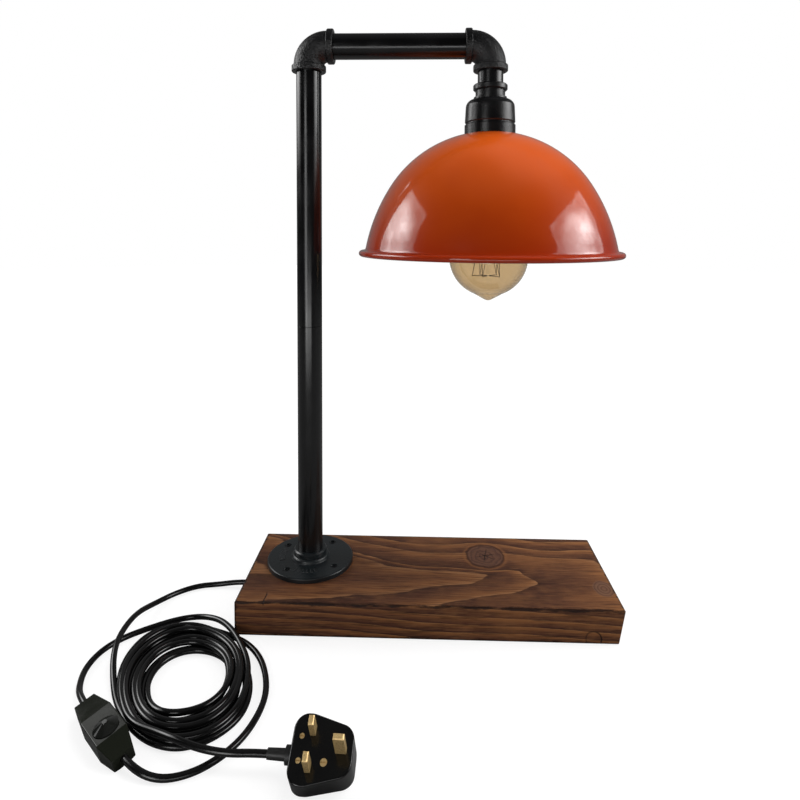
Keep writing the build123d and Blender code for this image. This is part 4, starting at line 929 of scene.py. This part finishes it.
# %% Enamel
CROWN_ORANGE = (0.68, 0.098, 0.006)     # painted shade: the coat is made darker and redder towards the rim, as if less light fell there
SHADED_RIM_ORANGE = (0.36, 0.024, 0.0014)
CLOUDS = 0.08                           # of the shade's height, either way
WAVE = 0.00022                          # depth of the slow waves in the sheet
PEEL = 0.00001                          # and of the coat's orange peel


def orange_enamel():
    low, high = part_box("shade")
    material, nodes, shader = finish("orange_enamel", CROWN_ORANGE, 0.30, Specular_IOR_Level=0.10,
                                     Coat_Weight=0.9, Coat_Roughness=0.03)
    height = nodes.between(nodes.parts(nodes.place)[2], low.z, high.z, smooth=False)
    height = nodes.plus(height, nodes.spread(nodes.noise(nodes.place, 9, 3), -CLOUDS, CLOUDS))
    # Painted shade: the colour darkens and reddens from the crown down to the rim.
    nodes.set(shader["Base Color"], nodes.ramp(height, [(0.05, SHADED_RIM_ORANGE), (0.80, CROWN_ORANGE)]))
    wave = nodes.bump(nodes.noise(nodes.place, 42, 2), WAVE)
    peel = nodes.bump(nodes.noise(nodes.place, 420, 2), PEEL, wave)
    nodes.set(shader["Normal"], peel)
    nodes.set(shader["Coat Normal"], peel)
    return material


shade.data.materials.append(orange_enamel())
print("enamel runs from", CROWN_ORANGE, "to", SHADED_RIM_ORANGE)

# %% [markdown]
# ## The bulb
# An amber filament globe is blown glass, thinner than a millimetre, and drawn to a pip where it
# was sealed. A ball could be pulled out to a neck and a pip by hand, but turning the outline, as
# for the shade, keeps it round all over. It needs a real wall with an inner and an outer face,
# because light bends at both.

# %% Globe
GLASS_WALL = 0.0009
PIP = 0.0046
PIP_FOOT = 0.0145
NECK = 0.0123
NECK_ABOVE = 0.0470
GLOBE_SIDES = 96
PIP_OUTLINE = (                         # radius, and height above its tip
    (0.0143, 0.0069), (0.0110, 0.0050), (0.0076, 0.0031), (0.0052, 0.0018),
    (0.0036, 0.0009), (0.0020, 0.0003), (0.0006, 0.0))


def globe_outline(low, high):
    radius = (high.x - low.x) / 2
    middle = low.z + PIP + radius
    blend = (radius ** 2 - NECK ** 2 - NECK_ABOVE ** 2) / (2 * (NECK - radius))
    blend_middle = (NECK + blend, middle + NECK_ABOVE)
    meet = math.degrees(math.atan2(NECK_ABOVE, blend_middle[0]))
    foot = -math.degrees(math.acos(PIP_FOOT / radius))
    outline = [(NECK, high.z), (NECK, middle + NECK_ABOVE)]
    outline += arc(blend_middle, blend, 180, 180 + meet, 10)[1:]
    outline += arc((0, middle), radius, meet, foot, 32)[1:]
    return outline + [(across, low.z + up) for across, up in PIP_OUTLINE]


print("a ring of the globe has", GLOBE_SIDES, "points")

# %% Blow the globe


def make_globe():
    low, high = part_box("bulb_glass")
    axis = ((low.x + high.x) / 2, (low.y + high.y) / 2)
    piece = turned("glass_globe", globe_outline(low, high), axis, GLOBE_SIDES)
    bpy.ops.mesh.edge_face_add()
    bpy.ops.mesh.select_all(action="SELECT")
    bpy.ops.mesh.normals_make_consistent(inside=False)
    bpy.ops.object.mode_set(mode="OBJECT")
    modify(piece, "SOLIDIFY", thickness=GLASS_WALL, offset=-1)
    smoothed(piece)
    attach(piece, "bulb")
    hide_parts("bulb_glass")
    return piece


globe = make_globe()
print("globe faces:", len(globe.data.polygons))

# %% Glass
AMBER = (0.69, 0.57, 0.40)
AMBER_EDGE = (0.34, 0.26, 0.17)
CLEAR = (0.95, 0.96, 0.95)
CLEAR_EDGE = (0.80, 0.84, 0.82)


def glass(name, colour, at_edge):
    """Clear to look through, and deeper in colour where it is seen along its own thickness."""
    material, nodes, shader = finish(name, colour, 0.0, Transmission_Weight=1.0, IOR=1.5)
    facing = nodes.new("LayerWeight").outputs["Facing"]
    nodes.set(shader["Base Color"], nodes.mix(nodes.between(facing, 0.35, 0.95), colour, at_edge))
    nodes.set(shader["Normal"], nodes.bump(nodes.noise(nodes.place, 70, 2), 0.00006))
    return material


globe.data.materials.append(glass("amber_glass", AMBER, AMBER_EDGE))
dress("clear_glass", glass("clear_glass", CLEAR, CLEAR_EDGE))
print("glass: amber for the globe, clear for the filament's stem")

# %% [markdown]
# ## Metals, plastics and rubber
# The small parts are brass, zinc, moulded plastic and rubber. Metal gets fine scratches in its
# roughness, and moulded plastic the faint dimple that the mould leaves. Both are noise in the
# part's own space, so nothing needs to be unwrapped.

# %% Small finishes


def metal(name, colour, roughness, shine=1.0):
    """Shine below 1 is for metal that a dull skin partly covers."""
    material, nodes, shader = finish(name, colour, roughness, Metallic=shine)
    worn = nodes.noise(nodes.place, 600, 4, 0.7, stretch=(1.0, 1.0, 0.15))
    nodes.set(shader["Base Color"],
              nodes.mix(nodes.between(worn, 0.35, 0.75), colour, shaded(colour, 0.62)))
    nodes.set(shader["Roughness"], nodes.spread(worn, roughness * 0.7, roughness * 1.5))
    return material


def moulded(name, colour, roughness, **sockets):
    material, nodes, shader = finish(name, colour, roughness, **sockets)
    cloud = nodes.noise(nodes.place, 60, 3)
    nodes.set(shader["Base Color"], nodes.mix(cloud, colour, shaded(colour, 1.2)))
    nodes.set(shader["Roughness"], nodes.spread(cloud, roughness - 0.05, roughness + 0.05))
    nodes.set(shader["Normal"], nodes.bump(nodes.noise(nodes.place, 900, 3), 0.00003))
    return material


dress("brass", metal("brass", (0.82, 0.58, 0.26), 0.34, shine=0.55))
dress("solder", metal("solder", (0.55, 0.55, 0.54), 0.35))
dress("zinc_plate", metal("zinc_plate", (0.62, 0.62, 0.60), 0.32))
dress("filament_wire", metal("filament_wire", (0.30, 0.27, 0.22), 0.35))
dress("holder_plastic", moulded("holder_plastic", (0.012, 0.012, 0.012), 0.35))
dress("ceramic", moulded("ceramic", (0.72, 0.69, 0.62), 0.30))
dress("core_insulation", moulded("core_insulation", (0.20, 0.05, 0.02), 0.45))
dress("black_rubber", moulded("black_rubber", (0.010, 0.010, 0.010), 0.45))
dress("dimmer_case", moulded("dimmer_case", (0.0080, 0.0092, 0.0062), 0.13,
                             Specular_IOR_Level=0.22))
dress("dimmer_dial", moulded("dimmer_dial", (0.0075, 0.0080, 0.0070), 0.12))
dress("dimmer_inside", moulded("dimmer_inside", (0.10, 0.22, 0.10), 0.45))
dress("plug_case", moulded("plug_case", (0.0022, 0.0022, 0.0022), 0.12))
dress("plug_inside", moulded("plug_inside", (0.60, 0.58, 0.54), 0.40))
flex_finish = moulded("black_flex", (0.0030, 0.0030, 0.0031), 0.17)
dress("black_cord", flex_finish)
lamp_flex.data.materials.append(flex_finish)
plug_flex.data.materials.append(flex_finish)
print("slots dressed")

# %% [markdown]
# ## The size
# The finishes and the new pieces are made to fit the box of the lamp's CAD parts.
